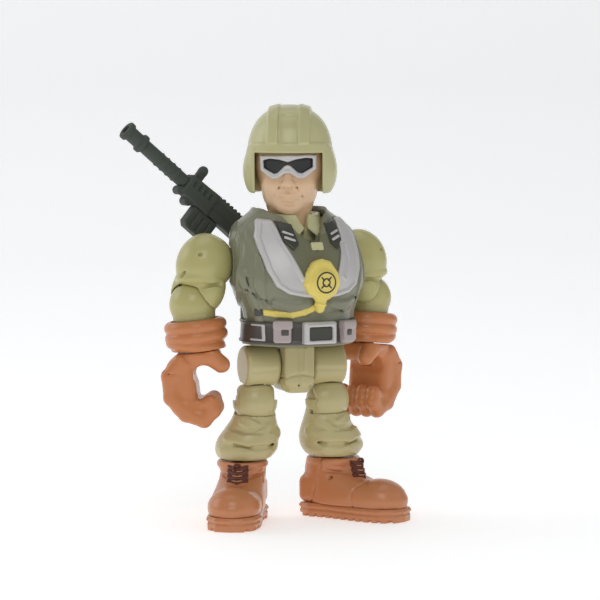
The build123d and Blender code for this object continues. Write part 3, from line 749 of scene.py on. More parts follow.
SKIN = Finish("skin", (212, 146, 84), (128, 72, 34), roughness=0.38, recess_shade=0.55)
HELMET = Finish("helmet_khaki", (146, 133, 44), (72, 58, 22), roughness=0.30, coat=0.35)
SHIRT = Finish("shirt_olive", (134, 122, 38), (62, 52, 18), roughness=0.32, coat=0.3)
COLLAR = Finish("collar_olive", (158, 150, 66), (70, 62, 26), roughness=0.36)
TROUSERS = Finish("trousers_khaki", (144, 124, 50), (72, 56, 20), roughness=0.34, coat=0.3)
VEST = Finish("vest_green", (56, 55, 32), (22, 20, 10), roughness=0.34, coat=0.3, edge=0.35)
GLOVE = Finish("glove_orange", (152, 48, 10), (70, 22, 6), roughness=0.32, coat=0.3)
BOOT = Finish("boot_brown", (150, 54, 20), (62, 22, 8), roughness=0.3, coat=0.35, recess_shade=0.9)
SILVER = Finish("silver_paint", (186, 182, 180), (84, 74, 66), roughness=0.34, metallic=0.25, edge=0.5)
PANEL_DARK = Finish("panel_grey_green", (104, 104, 78), (40, 38, 24), roughness=0.4)
MASK = Finish("mask_yellow", (208, 160, 22), (112, 74, 10), roughness=0.34)
BLACK = Finish("belt_black", (36, 26, 18), (8, 6, 4), roughness=0.34)
BADGE = Finish("badge_black", (24, 24, 22), (6, 6, 6), roughness=0.3)
MAUVE = Finish("pouch_mauve", (150, 136, 134), (62, 50, 46), roughness=0.38, metallic=0.15)
# Vest-green plastic painted darker as shade, for the pack and the rifle clip at the figure's back.
SHADED_VEST = Finish("pack_dark", (48, 50, 34), (14, 14, 8), roughness=0.42)
LENS = Finish("lens_black", (10, 10, 12), (2, 2, 2), roughness=0.12, coat=0.8, recess_shade=0.2, edge=0.0, mottle=0.0)
RIFLE = Finish("rifle_black", (17, 19, 18), (6, 7, 7), roughness=0.36, edge=0.4)
PLASTIC = Finish("dark_plastic", (38, 36, 28), (10, 9, 6), roughness=0.45)
STEEL = Finish("steel_pin", (150, 150, 152), (60, 60, 60), roughness=0.35, metallic=0.9, recess_shade=0.2)
LACE = Finish("lace_brown", (92, 40, 20), (30, 12, 5), roughness=0.5, coat=0.1, grain=Grain.CLOTH)


# ------------------------------------------------------------------ moulds and pieces

FINE = 0.36


@dataclass(frozen=True)
class Mould:
    """A skin worked out once, that can be cast in several places."""

    points: Points
    faces: np.ndarray
    sunk: np.ndarray
    proud: np.ndarray


def mould(form: Form, low: Vec, high: Vec, cell: float = 1.0) -> Mould:
    """A shape's skin with its hollows and edges marked.

    Args:
        form: the shape, in its own frame.
        low: a corner below it.
        high: a corner above it.
        cell: size of its quads against the usual one.

    Returns:
        The skin.
    """
    points, faces = skin(form, low, high, FINE * cell)
    sunk, proud = hollows(form, points, FINE * cell)
    return Mould(points, faces, sunk, proud)


def cast(name: str, made: Mould, place: Place, finish: Finish, body: str,
         nodes: Sequence[str] = ()) -> bpy.types.Object:
    """A mould's skin as a finished piece of the figure.

    Args:
        name: the piece's name.
        made: its skin.
        place: the frame that the skin is drawn in; a mirrored one turns the skin round.
        finish: its paint or plastic.
        body: the CAD body that moves it.
        nodes: CAD nodes that it stands for.

    Returns:
        The piece.
    """
    points = place.to_world(made.points) * MM
    faces = made.faces[:, ::-1] if np.linalg.det(place.axes) < 0 else made.faces
    mesh = bpy.data.meshes.new(name)
    mesh.vertices.add(len(points))
    mesh.vertices.foreach_set("co", points.astype(np.float32).ravel())
    mesh.loops.add(faces.size)
    mesh.loops.foreach_set("vertex_index", faces.astype(np.int32).ravel())
    mesh.polygons.add(len(faces))
    mesh.polygons.foreach_set("loop_start", np.arange(0, faces.size, 4, dtype=np.int32))
    mesh.update(calc_edges=True)
    mesh.validate()
    mesh.shade_smooth()
    for label, values in (("cavity", made.sunk), ("edge", made.proud)):
        mesh.attributes.new(label, "FLOAT", "POINT").data.foreach_set("value", values.astype(np.float32))
    mesh.materials.append(finish.material())
    return dress(bpy.data.objects.new(name, mesh), body, nodes)


def dress(piece: bpy.types.Object, body: str, nodes: Sequence[str]) -> bpy.types.Object:
    """Put a made object in the scene and tie it to its CAD body and nodes."""
    if not piece.users_collection:
        bpy.context.scene.collection.objects.link(piece)
    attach(piece, body)
    if nodes:
        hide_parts(*nodes)
    log.info("%s: %d faces on %s", piece.name, len(piece.data.polygons), body)
    return piece


# ------------------------------------------------------------------ repeated details by Geometry Nodes

def node_tree(name: str, inputs: Sequence[tuple[str, str, object]]) -> tuple[bpy.types.NodeTree,
                                                                             bpy.types.Node, bpy.types.Node]:
    """A new Geometry Nodes tree with named inputs.

    Args:
        name: the tree's name.
        inputs: name, socket kind and default of each input after the geometry.

    Returns:
        The tree, its input node and its output node.
    """
    tree = bpy.data.node_groups.new(name, "GeometryNodeTree")
    add_socket(tree, "Geometry", True, "Geometry")
    for label, kind, value in inputs:
        add_socket(tree, label, True, kind, value)
    add_socket(tree, "Geometry", False, "Geometry")
    return tree, make_node(tree, "NodeGroupInput"), make_node(tree, "NodeGroupOutput")


def ribbed_tree() -> bpy.types.NodeTree:
    """A tube round a curve with rings at even steps, as on a breathing hose."""
    name = "Ribbed tube"
    if name in bpy.data.node_groups:
        return bpy.data.node_groups[name]
    tree, inp, out = node_tree(name, (
        ("Core Radius", "Float", 0.001), ("Rib Radius", "Float", 0.0013), ("Rib Thickness", "Float", 0.0003),
        ("Pitch", "Float", 0.0009), ("Material", "Material", None)))
    smooth = make_node(tree, "GeometryNodeResampleCurve", mode="COUNT")
    smooth.inputs["Count"].default_value = 48
    core_profile = make_node(tree, "GeometryNodeCurvePrimitiveCircle")
    core_profile.inputs["Resolution"].default_value = 16
    tube = make_node(tree, "GeometryNodeCurveToMesh")
    tube.inputs["Fill Caps"].default_value = True
    spots = make_node(tree, "GeometryNodeCurveToPoints", mode="LENGTH")
    ring_path = make_node(tree, "GeometryNodeCurvePrimitiveCircle")
    ring_path.inputs["Resolution"].default_value = 20
    ring_profile = make_node(tree, "GeometryNodeCurvePrimitiveCircle")
    ring_profile.inputs["Resolution"].default_value = 8
    ring = make_node(tree, "GeometryNodeCurveToMesh")
    place = make_node(tree, "GeometryNodeInstanceOnPoints")
    real = make_node(tree, "GeometryNodeRealizeInstances")
    both = make_node(tree, "GeometryNodeJoinGeometry")
    shade = make_node(tree, "GeometryNodeSetShadeSmooth")
    paint = make_node(tree, "GeometryNodeSetMaterial")
    link_nodes(tree, [
        (inp, "Geometry", smooth, "Curve"), (smooth, 0, tube, "Curve"),
        (inp, "Core Radius", core_profile, "Radius"),
        (core_profile, 0, tube, "Profile Curve"), (inp, "Geometry", spots, "Curve"),
        (inp, "Pitch", spots, "Length"),
        (inp, "Rib Radius", ring_path, "Radius"), (inp, "Rib Thickness", ring_profile, "Radius"),
        (ring_path, 0, ring, "Curve"), (ring_profile, 0, ring, "Profile Curve"),
        (spots, "Points", place, "Points"),
        (ring, 0, place, "Instance"), (spots, "Rotation", place, "Rotation"), (place, 0, real, 0),
        (tube, 0, both, 0), (real, 0, both, 0), (both, 0, shade, 0), (shade, 0, paint, 0),
        (inp, "Material", paint, "Material"), (paint, 0, out, 0)])
    return tree


def studs_tree() -> bpy.types.NodeTree:
    """Domed studs set on every point of a mesh, along its normals."""
    name = "Domed studs"
    if name in bpy.data.node_groups:
        return bpy.data.node_groups[name]
    tree, inp, out = node_tree(name, (
        ("Radius", "Float", 0.0005), ("Flatness", "Float", 0.6), ("Material", "Material", None)))
    ball_node = make_node(tree, "GeometryNodeMeshUVSphere")
    ball_node.inputs["Segments"].default_value = 16
    ball_node.inputs["Rings"].default_value = 10
    normal = make_node(tree, "GeometryNodeInputNormal")
    keep = make_node(tree, "GeometryNodeCaptureAttribute", domain="FACE")
    keep.capture_items.new("VECTOR", "Normal")
    middles = make_node(tree, "GeometryNodeMeshToPoints", mode="FACES")
    turn = make_node(tree, "FunctionNodeAlignRotationToVector", axis="Z")
    place = make_node(tree, "GeometryNodeInstanceOnPoints")
    size = make_node(tree, "ShaderNodeCombineXYZ")
    size.inputs[0].default_value = 1.0
    size.inputs[1].default_value = 1.0
    real = make_node(tree, "GeometryNodeRealizeInstances")
    shade = make_node(tree, "GeometryNodeSetShadeSmooth")
    paint = make_node(tree, "GeometryNodeSetMaterial")
    link_nodes(tree, [
        (inp, "Geometry", keep, 0), (normal, 0, keep, 1), (keep, 0, middles, "Mesh"),
        (middles, 0, place, "Points"),
        (inp, "Radius", ball_node, "Radius"), (ball_node, 0, place, "Instance"),
        (keep, 1, turn, "Vector"), (turn, 0, place, "Rotation"), (inp, "Flatness", size, 2),
        (size, 0, place, "Scale"),
        (place, 0, real, 0), (real, 0, shade, 0), (shade, 0, paint, 0), (inp, "Material", paint, "Material"),
        (paint, 0, out, 0)])
    return tree


def grow_nodes(name: str, source: bpy.types.Object, tree: bpy.types.NodeTree,
               values: dict[str, object]) -> bpy.types.Object:
    """What a Geometry Nodes tree makes of an object, as a plain mesh piece.

    Args:
        name: the new piece's name.
        source: the object that the tree starts from, taken away afterwards.
        tree: the tree.
        values: the tree's inputs by name.

    Returns:
        The piece, not yet riding on anything.
    """
    bpy.context.scene.collection.objects.link(source)
    modifier = source.modifiers.new("nodes", "NODES")
    modifier.node_group = tree
    sockets = {item.name: item.identifier for item in tree.interface.items_tree if item.in_out == "INPUT"}
    for label, value in values.items():
        modifier[sockets[label]] = value
    bpy.context.view_layer.update()
    evaluated = source.evaluated_get(bpy.context.evaluated_depsgraph_get())
    mesh = bpy.data.meshes.new_from_object(evaluated)
    mesh.name = name
    bpy.data.objects.remove(source, do_unlink=True)
    for label in ("cavity", "edge"):
        if label not in mesh.attributes:
            mesh.attributes.new(label, "FLOAT", "POINT")
    return bpy.data.objects.new(name, mesh)


def spline(name: str, points: Points) -> bpy.types.Object:
    """A smooth curve object held to its end points, from points in millimetres of the whole figure."""
    data = bpy.data.curves.new(name, "CURVE")
    data.dimensions = "3D"
    line = data.splines.new("NURBS")
    line.points.add(len(points) - 1)
    for spot, where in zip(line.points, points * MM):
        spot.co = (*where, 1.0)
    line.order_u = 3
    line.use_endpoint_u = True
    line.resolution_u = 16
    return bpy.data.objects.new(name, data)


def spots(name: str, points: Points, normals: Points) -> bpy.types.Object:
    """Tiny loose facets whose normals say which way each stud faces, in millimetres of the whole figure."""
    corners, faces = [], []
    for where, way in zip(points, normals):
        way = way / np.linalg.norm(way)
        side = np.cross(way, (0.3, 0.2, 0.9))
        side /= np.linalg.norm(side)
        first = len(corners)
        corners += [where, where + 1e-4 * side, where + 1e-4 * np.cross(way, side)]
        faces.append((first, first + 1, first + 2))
    mesh = bpy.data.meshes.new(name)
    mesh.from_pydata([tuple(c * MM) for c in corners], [], faces)
    mesh.update()
    return bpy.data.objects.new(name, mesh)


# ------------------------------------------------------------------ head

@dataclass(frozen=True)
class Head:
    """Head, helmet and goggles, drawn with the face towards -Y about the neck's axis."""

    turn: float = -30.0
    crown: Vec = (0.0, 0.5, 109.2)
    helmet_radii: Vec = (13.1, 13.9, 16.9)
    wall: float = 1.6
    opening_half: float = 10.2
    brow: float = 112.2
    guard_bottom: float = 99.9
    lens: tuple[tuple[float, float], ...] = (
        (-7.4, 109.9), (-5.6, 110.5), (-2.6, 110.2), (0, 109.5), (2.6, 110.3), (5.4, 110.8), (7.4, 110.6),
        (7.4, 108.0), (4.4, 106.2), (3.1, 106.4), (0.9, 108.4), (0, 108.7), (-0.9, 108.4), (-3.0, 106.3),
        (-4.1, 106.0), (-7.2, 107.7))
    rim: tuple[tuple[float, float], ...] = (
        (-8.5, 111.3), (0, 111.5), (8.5, 111.5), (8.5, 107.5), (5.0, 104.7), (3.0, 104.6), (0.8, 106.1),
        (-0.8, 106.1), (-3.0, 104.5), (-4.7, 104.4), (-8.3, 107.1))

    def place(self) -> Place:
        """The head's frame."""
        return spun(pivot("neck_turn") * (1, 1, 0), self.turn)

    def outer(self) -> Form:
        """The helmet's outside."""
        return dome(self.crown, self.helmet_radii, 2.45)

    def flesh(self) -> Form:
        """The head and neck with a calm, plain face."""
        skull = oval((0, 0.5, 110.4), (11.0, 11.8, 14.2)).keep(beyond("z", 101.5), blend=2.0)
        face = oval((0, -1.4, 105.0), (8.9, 9.4, 11.4))
        jaw = oval((0, -3.4, 99.4), (7.6, 6.9, 5.8))
        chin = oval((0, -8.1, 95.9), (3.3, 2.6, 2.3))
        cheeks = oval((4.9, -6.8, 102.6), (2.9, 3.0, 2.5)).both_sides()
        brow = rod((0, -9.6, 110.3), (5.2, -7.8, 110.2), 1.9).both_sides()
        bridge = rod((0, -9.9, 108.2), (0, -11.9, 103.4), 1.0, 1.35)
        tip = oval((0, -12.1, 102.9), (1.6, 1.4, 1.3))
        wings = oval((1.45, -10.9, 102.6), (0.95, 1.3, 1.0)).both_sides()
        upper_lip = oval((0, -9.7, 99.6), (2.9, 1.5, 0.85))
        lower_lip = oval((0, -9.6, 98.1), (2.5, 1.5, 0.85))
        mouth = chain([(-3.1, -9.9, 98.7), (-1.2, -11.3, 98.9), (0, -11.45, 98.8), (1.2, -11.3, 98.9),
                       (3.1, -9.9, 98.7)],
                      0.22)
        groove = rod((0, -11.2, 101.2), (0, -11.0, 100.3), 0.35)
        dip = rod((-1.4, -10.6, 96.9), (1.4, -10.6, 96.9), 0.5)
        fold = rod((2.6, -10.1, 101.9), (4.1, -8.9, 99.0), 0.3).both_sides()
        nostril = oval((0.8, -11.7, 101.75), (0.4, 0.6, 0.4)).both_sides()
        neck = column(((88.4, 0, 0, 6.2, 6.2), (92, 0, -0.4, 6.1, 6.2), (97, 0, -0.8, 6.4, 6.6)))
        cords = rod((3.0, -4.6, 89.0), (5.4, -1.4, 96.0), 1.3).both_sides()
        bore = drum((0, 0, 90.0), (0, 0, 1), 2.66, 6.2)
        head = face.join(jaw, cheeks, blend=2.6).join(chin, blend=2.2).join(skull, blend=1.2)
        head = head.join(brow, blend=1.6).join(bridge, blend=1.1).join(tip, wings, blend=0.7)
        head = head.join(upper_lip, lower_lip, blend=0.5).join(neck, cords, blend=1.4)
        return head.carve(mouth, groove, dip, fold, blend=0.55).carve(nostril, blend=0.3).carve(bore)

    def helmet(self) -> Form:
        """The helmet: shell, cheek guards, brow band and two raised ribs."""
        outer = self.outer()
        top, low, half = self.brow, self.guard_bottom, self.opening_half
        opening = prism([(-half, 80), (half, 80), (half, top), (-half, top)], "xz", -40, -1.6, 1.8)
        narrow = prism([(-9.4, 80), (9.4, 80), (9.6, 103), (10.0, 112), (-10.0, 112), (-9.6, 103)], "xz",
                       -40, 0.4, 1.2)
        band = outer.grow(0.5).keep(opening.grow(3.0), beyond("-y", 1.5), blend=0.5)
        rib = outer.grow(0.95).keep(slab((4.7, -12, 122), (1.75, 14, 7.0), 0.5), blend=0.5)
        crest = outer.grow(0.5).keep(slab((0, -2, 130), (6.4, 8, 6.5), 1.0), blend=0.8)
        ear = oval((11.6, 0.6, 106.4), (2.6, 5.2, 5.6)).both_sides()
        hem = bead(outer, Form(lambda p: p[:, 2] - low - 0.6), 0.55)
        shell = outer.join(band, rib.both_sides(), crest, blend=0.45).join(ear, blend=2.2)
        shell = shell.keep(beyond("z", low), blend=0.9).join(hem, blend=0.5)
        inside = oval((0, 0.5, 109.8), (11.45, 12.3, 15.0))
        below = column(((80, 0, 0.5, 10.9, 11.7), (104, 0, 0.5, 11.2, 12.0), (109, 0, 0.5, 11.45, 12.3)))
        return shell.carve(inside, below).carve(opening.join(narrow), blend=0.5)

    def curved(self, outer: float) -> Form:
        """Everything behind the goggles' curved front."""
        return drum((0, 1.2, 108), (0, 0, 1), outer, 30)

    def frame(self) -> Form:
        """The goggles' moulded frame, hollow for the lens."""
        window = prism(self.lens, "xz", -30, 0, 0.3)
        body = prism(self.rim, "xz", -20, -5.5, 0.7)
        front = self.curved(13.75)
        lip = bead(prism(self.rim, "xz", -30, 10).grow(-0.55), front, 0.5)
        edge = bead(window.grow(0.45), front, 0.4)
        solid = body.keep(front, blend=0.5).join(lip.keep(beyond("-y", -4)), edge.keep(beyond("-y", -4)),
                                                 blend=0.3)
        return solid.carve(window.carve(self.curved(12.6)), blend=0.2).carve(self.curved(11.2))

    def glass(self) -> Form:
        """The dark lens."""
        return prism(self.lens, "xz", -20, -5.5).grow(-0.08).keep(self.curved(13.15),
                                                                  blend=0.3).carve(self.curved(11.9))

    def build(self) -> None:
        """Make and dress the head's pieces."""
        place = self.place()
        cast("head_and_neck", mould(self.flesh(), (-12, -14.5, 88), (12, 13, 125)), place, SKIN,
             "head_group", ["head"])
        cast("flying_helmet", mould(self.helmet(), (-15.5, -16, 98), (15.5, 16, 128)), place, HELMET,
             "head_group", ["helmet"])
        cast("goggle_rim", mould(self.frame(), (-9.5, -14, 103), (9.5, -4, 113), 0.8), place, SILVER,
             "head_group",
             ["goggle_frame"])
        cast("goggle_glass", mould(self.glass(), (-9.5, -14, 103), (9.5, -4, 113), 0.8), place, LENS,
             "head_group",
             ["goggle_lens"])


# ------------------------------------------------------------------ torso

@dataclass(frozen=True)
class Torso:
    """The vest, its plate, mask, belt and pack, and the shirt collar."""

    waist: float = 54.6
    neck: tuple[float, float] = (3.5, 89.0)
    shoulder: Vec = (25.5, 9.0, 79.0)
    rows: tuple[tuple[float, ...], ...] = (
        (0.0, 16.8, 16.8, 13.6), (8.3, 16.6, 16.5, 13.6), (21.0, 21.4, 16.4, 16.8), (29.0, 20.4, 13.4, 16.8),
        (35.0, 18.4, 9.0, 15.8), (40.2, 11.6, 4.4, 13.4))
    plate_outer: tuple[tuple[float, float], ...] = (
        (0, 14.5), (5.5, 15.1), (10.0, 16.0), (13.2, 18.2), (15.4, 23.0), (16.3, 28.0), (16.6, 32.8),
        (14.2, 38.0))
    plate_inner: tuple[tuple[float, float], ...] = (
        (10.6, 37.6), (9.9, 31.4), (7.6, 25.6), (5.6, 20.8), (0, 19.2))

    def trunk(self) -> Form:
        """The chest and belly."""
        rows = [(self.waist + z, 0, (back - front) / 2, half, (front + back) / 2) for z, half, front,
                back in self.rows]
        return column(rows, rounding=0.5)

    def outline(self, points: Sequence[tuple[float, float]]) -> list[tuple[float, float]]:
        """Points above the waist as heights above the floor, with their mirror images added."""
        half = [(x, self.waist + z) for x, z in points]
        return half + [(-x, z) for x, z in reversed(half) if x > 0]

    def plate_area(self) -> Form:
        """The U of the breast plate, seen from the front."""
        return prism(self.outline(self.plate_outer + self.plate_inner), "xz", -40, -1.5)

    def yoke_area(self) -> Form:
        """The sunk field inside the U."""
        inner = [(x, self.waist + z) for x, z in self.plate_inner if x > 0]
        points = [(x, z) for x, z in inner] + [(0, self.waist + 19.2)] + [(-x, z) for x, z in reversed(inner)]
        return prism(points + [(0, self.waist + 30.5)], "xz", -40, -1.5)

    def arm_rooms(self) -> tuple[Form, Form]:
        """The flat recess beside the chest and the round hollow for the arm's top."""
        recess = drum(self.shoulder, (1, 0, 0), 12.4, 5.3, 0.8).both_sides()
        return recess, ball(self.shoulder, 8.95).both_sides()

    def neck_room(self) -> Form:
        """The opening for the collar."""
        y, z = self.neck
        well = drum((0, y, z + 7), (0, 0, 1), 10.6, 10)
        notch = prism([(-9.6, z + 9), (9.6, z + 9), (0, z - 7.4)], "xz", -25, y)
        return well.join(notch)

    def vest_form(self) -> Form:
        """The whole vest before it is split into its two halves."""
        trunk = self.trunk()
        recess, hollow = self.arm_rooms()
        neck = self.neck_room()
        w = self.waist
        outer = trunk.join(trunk.grow(0.45).keep(Form(lambda p: p[:, 2] - w - 1.3)), blend=0.4)
        strap = prism([(9.2, w + 30), (16.8, w + 26.0), (18.2, w + 33), (15.5, w + 41.5), (8.5, w + 41.5)],
                      "xz", -40, 20)
        outer = outer.join(trunk.grow(0.4).keep(strap.both_sides(), blend=0.5), blend=0.5)
        folds = [chain([(17.4, -10.6, w + 27), (17.9, -10.9, w + 18), (15.6, -11.9, w + 8)], 1.5, 1.0),
                 chain([(20.2, -4.6, w + 22), (18.6, -7.4, w + 13), (16.4, -7.4, w + 8)], 1.4, 1.0),
                 chain([(4.0, -15.9, w + 12.6), (9.0, -15.2, w + 11.6), (13.5, -12.9, w + 12.8)], 1.0, 1.0)]
        bulges = folds[0].join(*folds[1:]).both_sides().keep(trunk.grow(0.55), blend=0.3)
        outer = outer.join(bulges, blend=1.8)
        seam = bead(trunk.grow(0.1),
                    Form(lambda p: np.abs(p[:, 0]) - 19.6 + 0.12 * np.abs(p[:, 2] - w - 20)), 0.28)
        low_seam = bead(trunk.grow(0.1), Form(lambda p: p[:, 2] - w - 9.3 - 0.02 * p[:, 0] ** 2), 0.3)
        outer = outer.carve(seam.keep(beyond("-z", w + 21)), low_seam, blend=0.5)
        flat = self.plate_area().join(self.yoke_area()).grow(0.2).carve(trunk.grow(0.2))
        outer = outer.carve(flat)
        piping = bead(trunk.grow(0.1), drum(self.shoulder, (1, 0, 0), 13.2, 9).both_sides(), 0.62)
        collar_edge = bead(trunk.grow(0.1), neck.grow(0.8), 0.6)
        outer = outer.join(piping, collar_edge, blend=0.7)
        wall = outer.carve(trunk.grow(-1.9)).carve(neck, recess, blend=0.5).carve(hollow)
        return wall.carve(drum((0, self.shoulder[1], self.shoulder[2]), (1, 0, 0), 5.2,
                               40)).keep(beyond("z", w + 0.02))

    def vest(self) -> None:
        """The vest's front and back."""
        whole = self.vest_form()
        low, high = (-23, -19, 54), (23, 20, 97)
        front = whole.keep(beyond("-y", 1.0))
        back = whole.keep(beyond("y", 1.02))
        cast("vest_front_half", mould(front, low, (23, 2, 97)), WORLD, VEST, "torso", ["vest_front"])
        cast("vest_back_half", mould(back, (-23, 0, 54), high, 1.15), WORLD, VEST, "torso", ["vest_back"])

    def plate(self) -> None:
        """The silver breast plate with raised rims, its sunk yoke, clasp and buckles."""
        trunk, area, w = self.trunk(), self.plate_area(), self.waist
        ground = trunk.grow(1.2).keep(area, blend=0.4)
        rim = bead(area.grow(-0.55), trunk.grow(1.2), 0.62).keep(beyond("-y", -2))
        strip = prism([(8.8, w + 30.6), (11.4, w + 31.4), (11.4, w + 25.4), (8.6, w + 20.0),
                       (7.6, w + 21.0), (9.0, w + 25.6)],
                      "xz", -40, 0, 0.4)
        ridge = bead(strip, trunk.grow(1.15), 0.35).keep(beyond("-y", -2))
        solid = ground.join(rim, ridge, blend=0.35).carve(strip.grow(-0.3).carve(trunk.grow(0.95)), blend=0.3)
        solid = solid.carve(trunk.grow(0.08)).carve(self.neck_room().grow(-0.5))
        made = mould(solid, (-18, -19, 67), (18, -1, 95))
        cast("breast_plate", made, WORLD, SILVER, "torso", ["chest_panel"])
        yoke = trunk.grow(0.85).keep(self.yoke_area(),
                                     blend=0.3).carve(trunk.grow(0.05)).carve(self.neck_room().grow(-0.6))
        cast("plate_yoke", mould(yoke, (-12, -19, 72), (12, -4, 90)), WORLD, PANEL_DARK, "torso", ())
        clasp_y = self.front_at(0.4, w + 29.6) - 0.5
        clasp = chain([(-1.5, clasp_y, w + 28.4), (0.2, clasp_y - 0.5, w + 28.7), (1.6, clasp_y, w + 28.2)],
                      0.55, 0.3)
        clasp = clasp.join(hoop((0.9, clasp_y - 0.5, w + 28.0), (0.1, 1, 0.2), 0.85, 0.3), blend=0.2)
        cast("collar_clasp", mould(clasp, (-3, -19, 79), (4, -8, 87), 0.7), WORLD, PANEL_DARK, "torso", ())
        for side, k in (("right", -1), ("left", 1)):
            spot = prism([(k * 5.6, w + 36.4), (k * 9.8, w + 37.4), (k * 9.9, w + 31.6),
                          (k * 7.4, w + 28.8), (k * 5.4, w + 30.6)],
                         "xz", -40, -2, 0.5)
            slide = trunk.grow(1.6).keep(spot,
                                         blend=0.5).carve(trunk.grow(0.1)).carve(self.neck_room().grow(-1.0))
            bar = rod((k * 6.4, self.front_at(k * 6.4, w + 31.8) - 1.55, w + 31.6),
                      (k * 8.9, self.front_at(k * 8.9, w + 32.4) - 1.55, w + 32.6), 0.45)
            bar_two = rod((k * 6.5, self.front_at(k * 6.5, w + 33.4) - 1.55, w + 33.2),
                          (k * 9.0, self.front_at(k * 9.0, w + 34.0) - 1.55, w + 34.2), 0.4)
            cast(f"{side}_strap_buckle", mould(slide, (-12, -18, 82), (12, 0, 94), 0.8), WORLD, BADGE,
                 "torso",
                 ["shoulder_buckles"] if k > 0 else ())
            cast(f"{side}_buckle_bars", mould(bar.join(bar_two), (-12, -18, 82), (12, 0, 94), 0.7), WORLD,
                 SILVER, "torso", ())

    def front_at(self, x: float, z: float) -> float:
        """How far forward the vest stands at a place on the chest."""
        line = np.stack([np.full(400, x), np.linspace(-20, 2, 400), np.full(400, z)], axis=1)
        return float(line[np.argmax(self.trunk().distance(line) < 0), 1])

    def rivets(self) -> None:
        """Three domed rivets down the plate's left strip."""
        places = [(x, self.waist + z) for x, z in ((13.9, 29.2), (13.5, 25.2), (12.3, 21.2))]
        points = np.array([(x, self.front_at(x, z) - 1.2, z) for x, z in places])
        ways = slope_at(self.trunk(), points, 0.2)
        values = {"Radius": 0.75 * MM, "Flatness": 0.6, "Material": PANEL_DARK.material()}
        piece = grow_nodes("plate_rivets", spots("rivet_places", points, ways), studs_tree(), values)
        dress(piece, "torso", ["chest_rivets"])

    def collar(self) -> None:
        """The shirt collar with its two points."""
        y, z = self.neck

        def cone(p: Points) -> np.ndarray:
            """Signed distance from the spreading neck cone."""
            reach = eased((z - 6, z + 0.4, z + 3.2, z + 5.2), (13.4, 10.6, 8.6, 7.9), p[:, 2])
            return (np.hypot(p[:, 0], p[:, 1] - y) - reach) * 0.86
        leaf = [(0.5, z + 0.6), (2.4, z - 1.2), (6.4, z - 4.6), (9.6, z - 0.8), (12.5, z + 1.6),
                (12.5, z + 4.9), (2.4, z + 4.6)]
        flap = Form(lambda p: np.abs(cone(p)) - 0.75).keep(prism(leaf, "xz", -25, y + 1).both_sides(),
                                                           blend=0.7)
        back = Form(lambda p: np.abs(cone(p)) - 0.75).keep(
            Form(lambda p: np.abs(p[:, 2] - z - 2.4) - 2.4), beyond("y", y - 3), blend=0.7)
        stand = drum((0, y, z + 0.6), (0, 0, 1), 8.9, 3.6, 0.5).carve(drum((0, y, z), (0, 0, 1), 7.1, 10))
        stand = stand.carve(prism([(-3.2, z + 7), (3.2, z + 7), (0, z - 2.2)], "xz", -25, y), blend=0.5)
        stitch = bead(Form(cone).grow(0.75), prism(leaf, "xz", -25, y + 1).both_sides().grow(-0.9), 0.16)
        shirt = drum((0, y + 0.4, z - 3.4), (0, 0, 1), 9.6, 1.0,
                     0.6).carve(drum((0, y, z), (0, 0, 1), 7.1, 10))
        tab = slab((0.4, self.front_at(0, z - 5.6) - 0.2, z - 4.6), (2.0, 0.6, 1.3), 0.4, (-24, 0, 0))
        form = stand.join(flap, back, shirt, blend=0.8).carve(stitch, blend=0.3).join(tab, blend=0.5)
        cast("shirt_collar_leaves", mould(form, (-14, -16, 82), (14, 18, 96)), WORLD, COLLAR, "torso",
             ["shirt_collar"])

    def mask(self) -> None:
        """The breathing mask: cup, badge, nozzle, ribbed hose and strap."""
        w = self.waist
        front = self.front_at(0, w + 19.4)
        outline = [(0, w + 26.2), (2.6, w + 25.4), (5.0, w + 22.2), (5.9, w + 19.0), (4.6, w + 16.0),
                   (2.2, w + 14.2),
                   (-2.2, w + 14.2), (-4.6, w + 16.0), (-5.9, w + 19.0), (-5.0, w + 22.2), (-2.6, w + 25.4)]
        shell = prism(outline, "xz", front - 2.7, front + 3, 1.3)
        crown = dome((0, front + 0.6, w + 19.8), (5.2, 4.1, 5.9), 2.0)
        ledge = bead(prism(outline, "xz", -40, 0).grow(-0.5), Form(lambda p: p[:, 1] - front + 0.9), 0.55)
        nozzle = rod((-0.2, front - 0.9, w + 15.4), (-0.9, front - 1.3, w + 11.6), 2.0, 1.5)
        ring = hoop((-0.7, front - 1.2, w + 12.6), (0.15, 0.1, 1), 1.6, 0.35)
        socket = drum((0, front - 3.0, w + 19.4), (0, 1, 0), 3.7, 0.9, 0.3)
        cup = shell.join(crown, ledge, nozzle, socket, blend=0.7).join(ring,
                                                                       blend=0.3).carve(self.trunk().grow(0.9))
        cast("mask_shell", mould(cup, (-7, -23, 64), (7, -12, 82), 0.8), WORLD, MASK, "torso", ["mask_cup"])
        face = front - 3.75
        disc = drum((0, face, w + 19.4), (0, 1, 0), 3.1, 0.28, 0.15)
        rings = [hoop((0, face - 0.2, w + 19.4), (0, 1, 0), r, 0.26) for r in (1.15, 3.0)]
        bars = [rod((0.9 * math.cos(a), face - 0.25, w + 19.4 + 0.9 * math.sin(a)),
                    (2.2 * math.cos(a), face - 0.25, w + 19.4 + 2.2 * math.sin(a)), 0.25)
                for a in (math.radians(45 + 90 * i) for i in range(4))]
        cast("mask_badge_rings",
             mould(rings[0].join(rings[1], *bars, blend=0.1), (-4, -24, 70), (4, -17, 78), 0.55), WORLD,
             BADGE,
             "torso", ["mask_badge"])
        cast("mask_badge_disc", mould(disc, (-4, -24, 70), (4, -17, 78), 0.7), WORLD, MASK, "torso", ())
        ribbon = [(-1.6, w + 12.2), (-5.0, w + 10.8), (-8.4, w + 10.0), (-12.4, w + 10.2), (-14.8, w + 10.6)]
        line = [(x, self.front_at(x, z) - 0.35, z) for x, z in ribbon]
        strap = chain(line, 0.62, 0.5).join(chain([(x, y, z - 0.8) for x, y, z in line], 0.55, 0.5),
                                            blend=0.15)
        cast("mask_strap_ribbon", mould(strap, (-17, -20, 62), (0, -10, 69), 0.7), WORLD, MASK, "torso",
             ["mask_strap"])
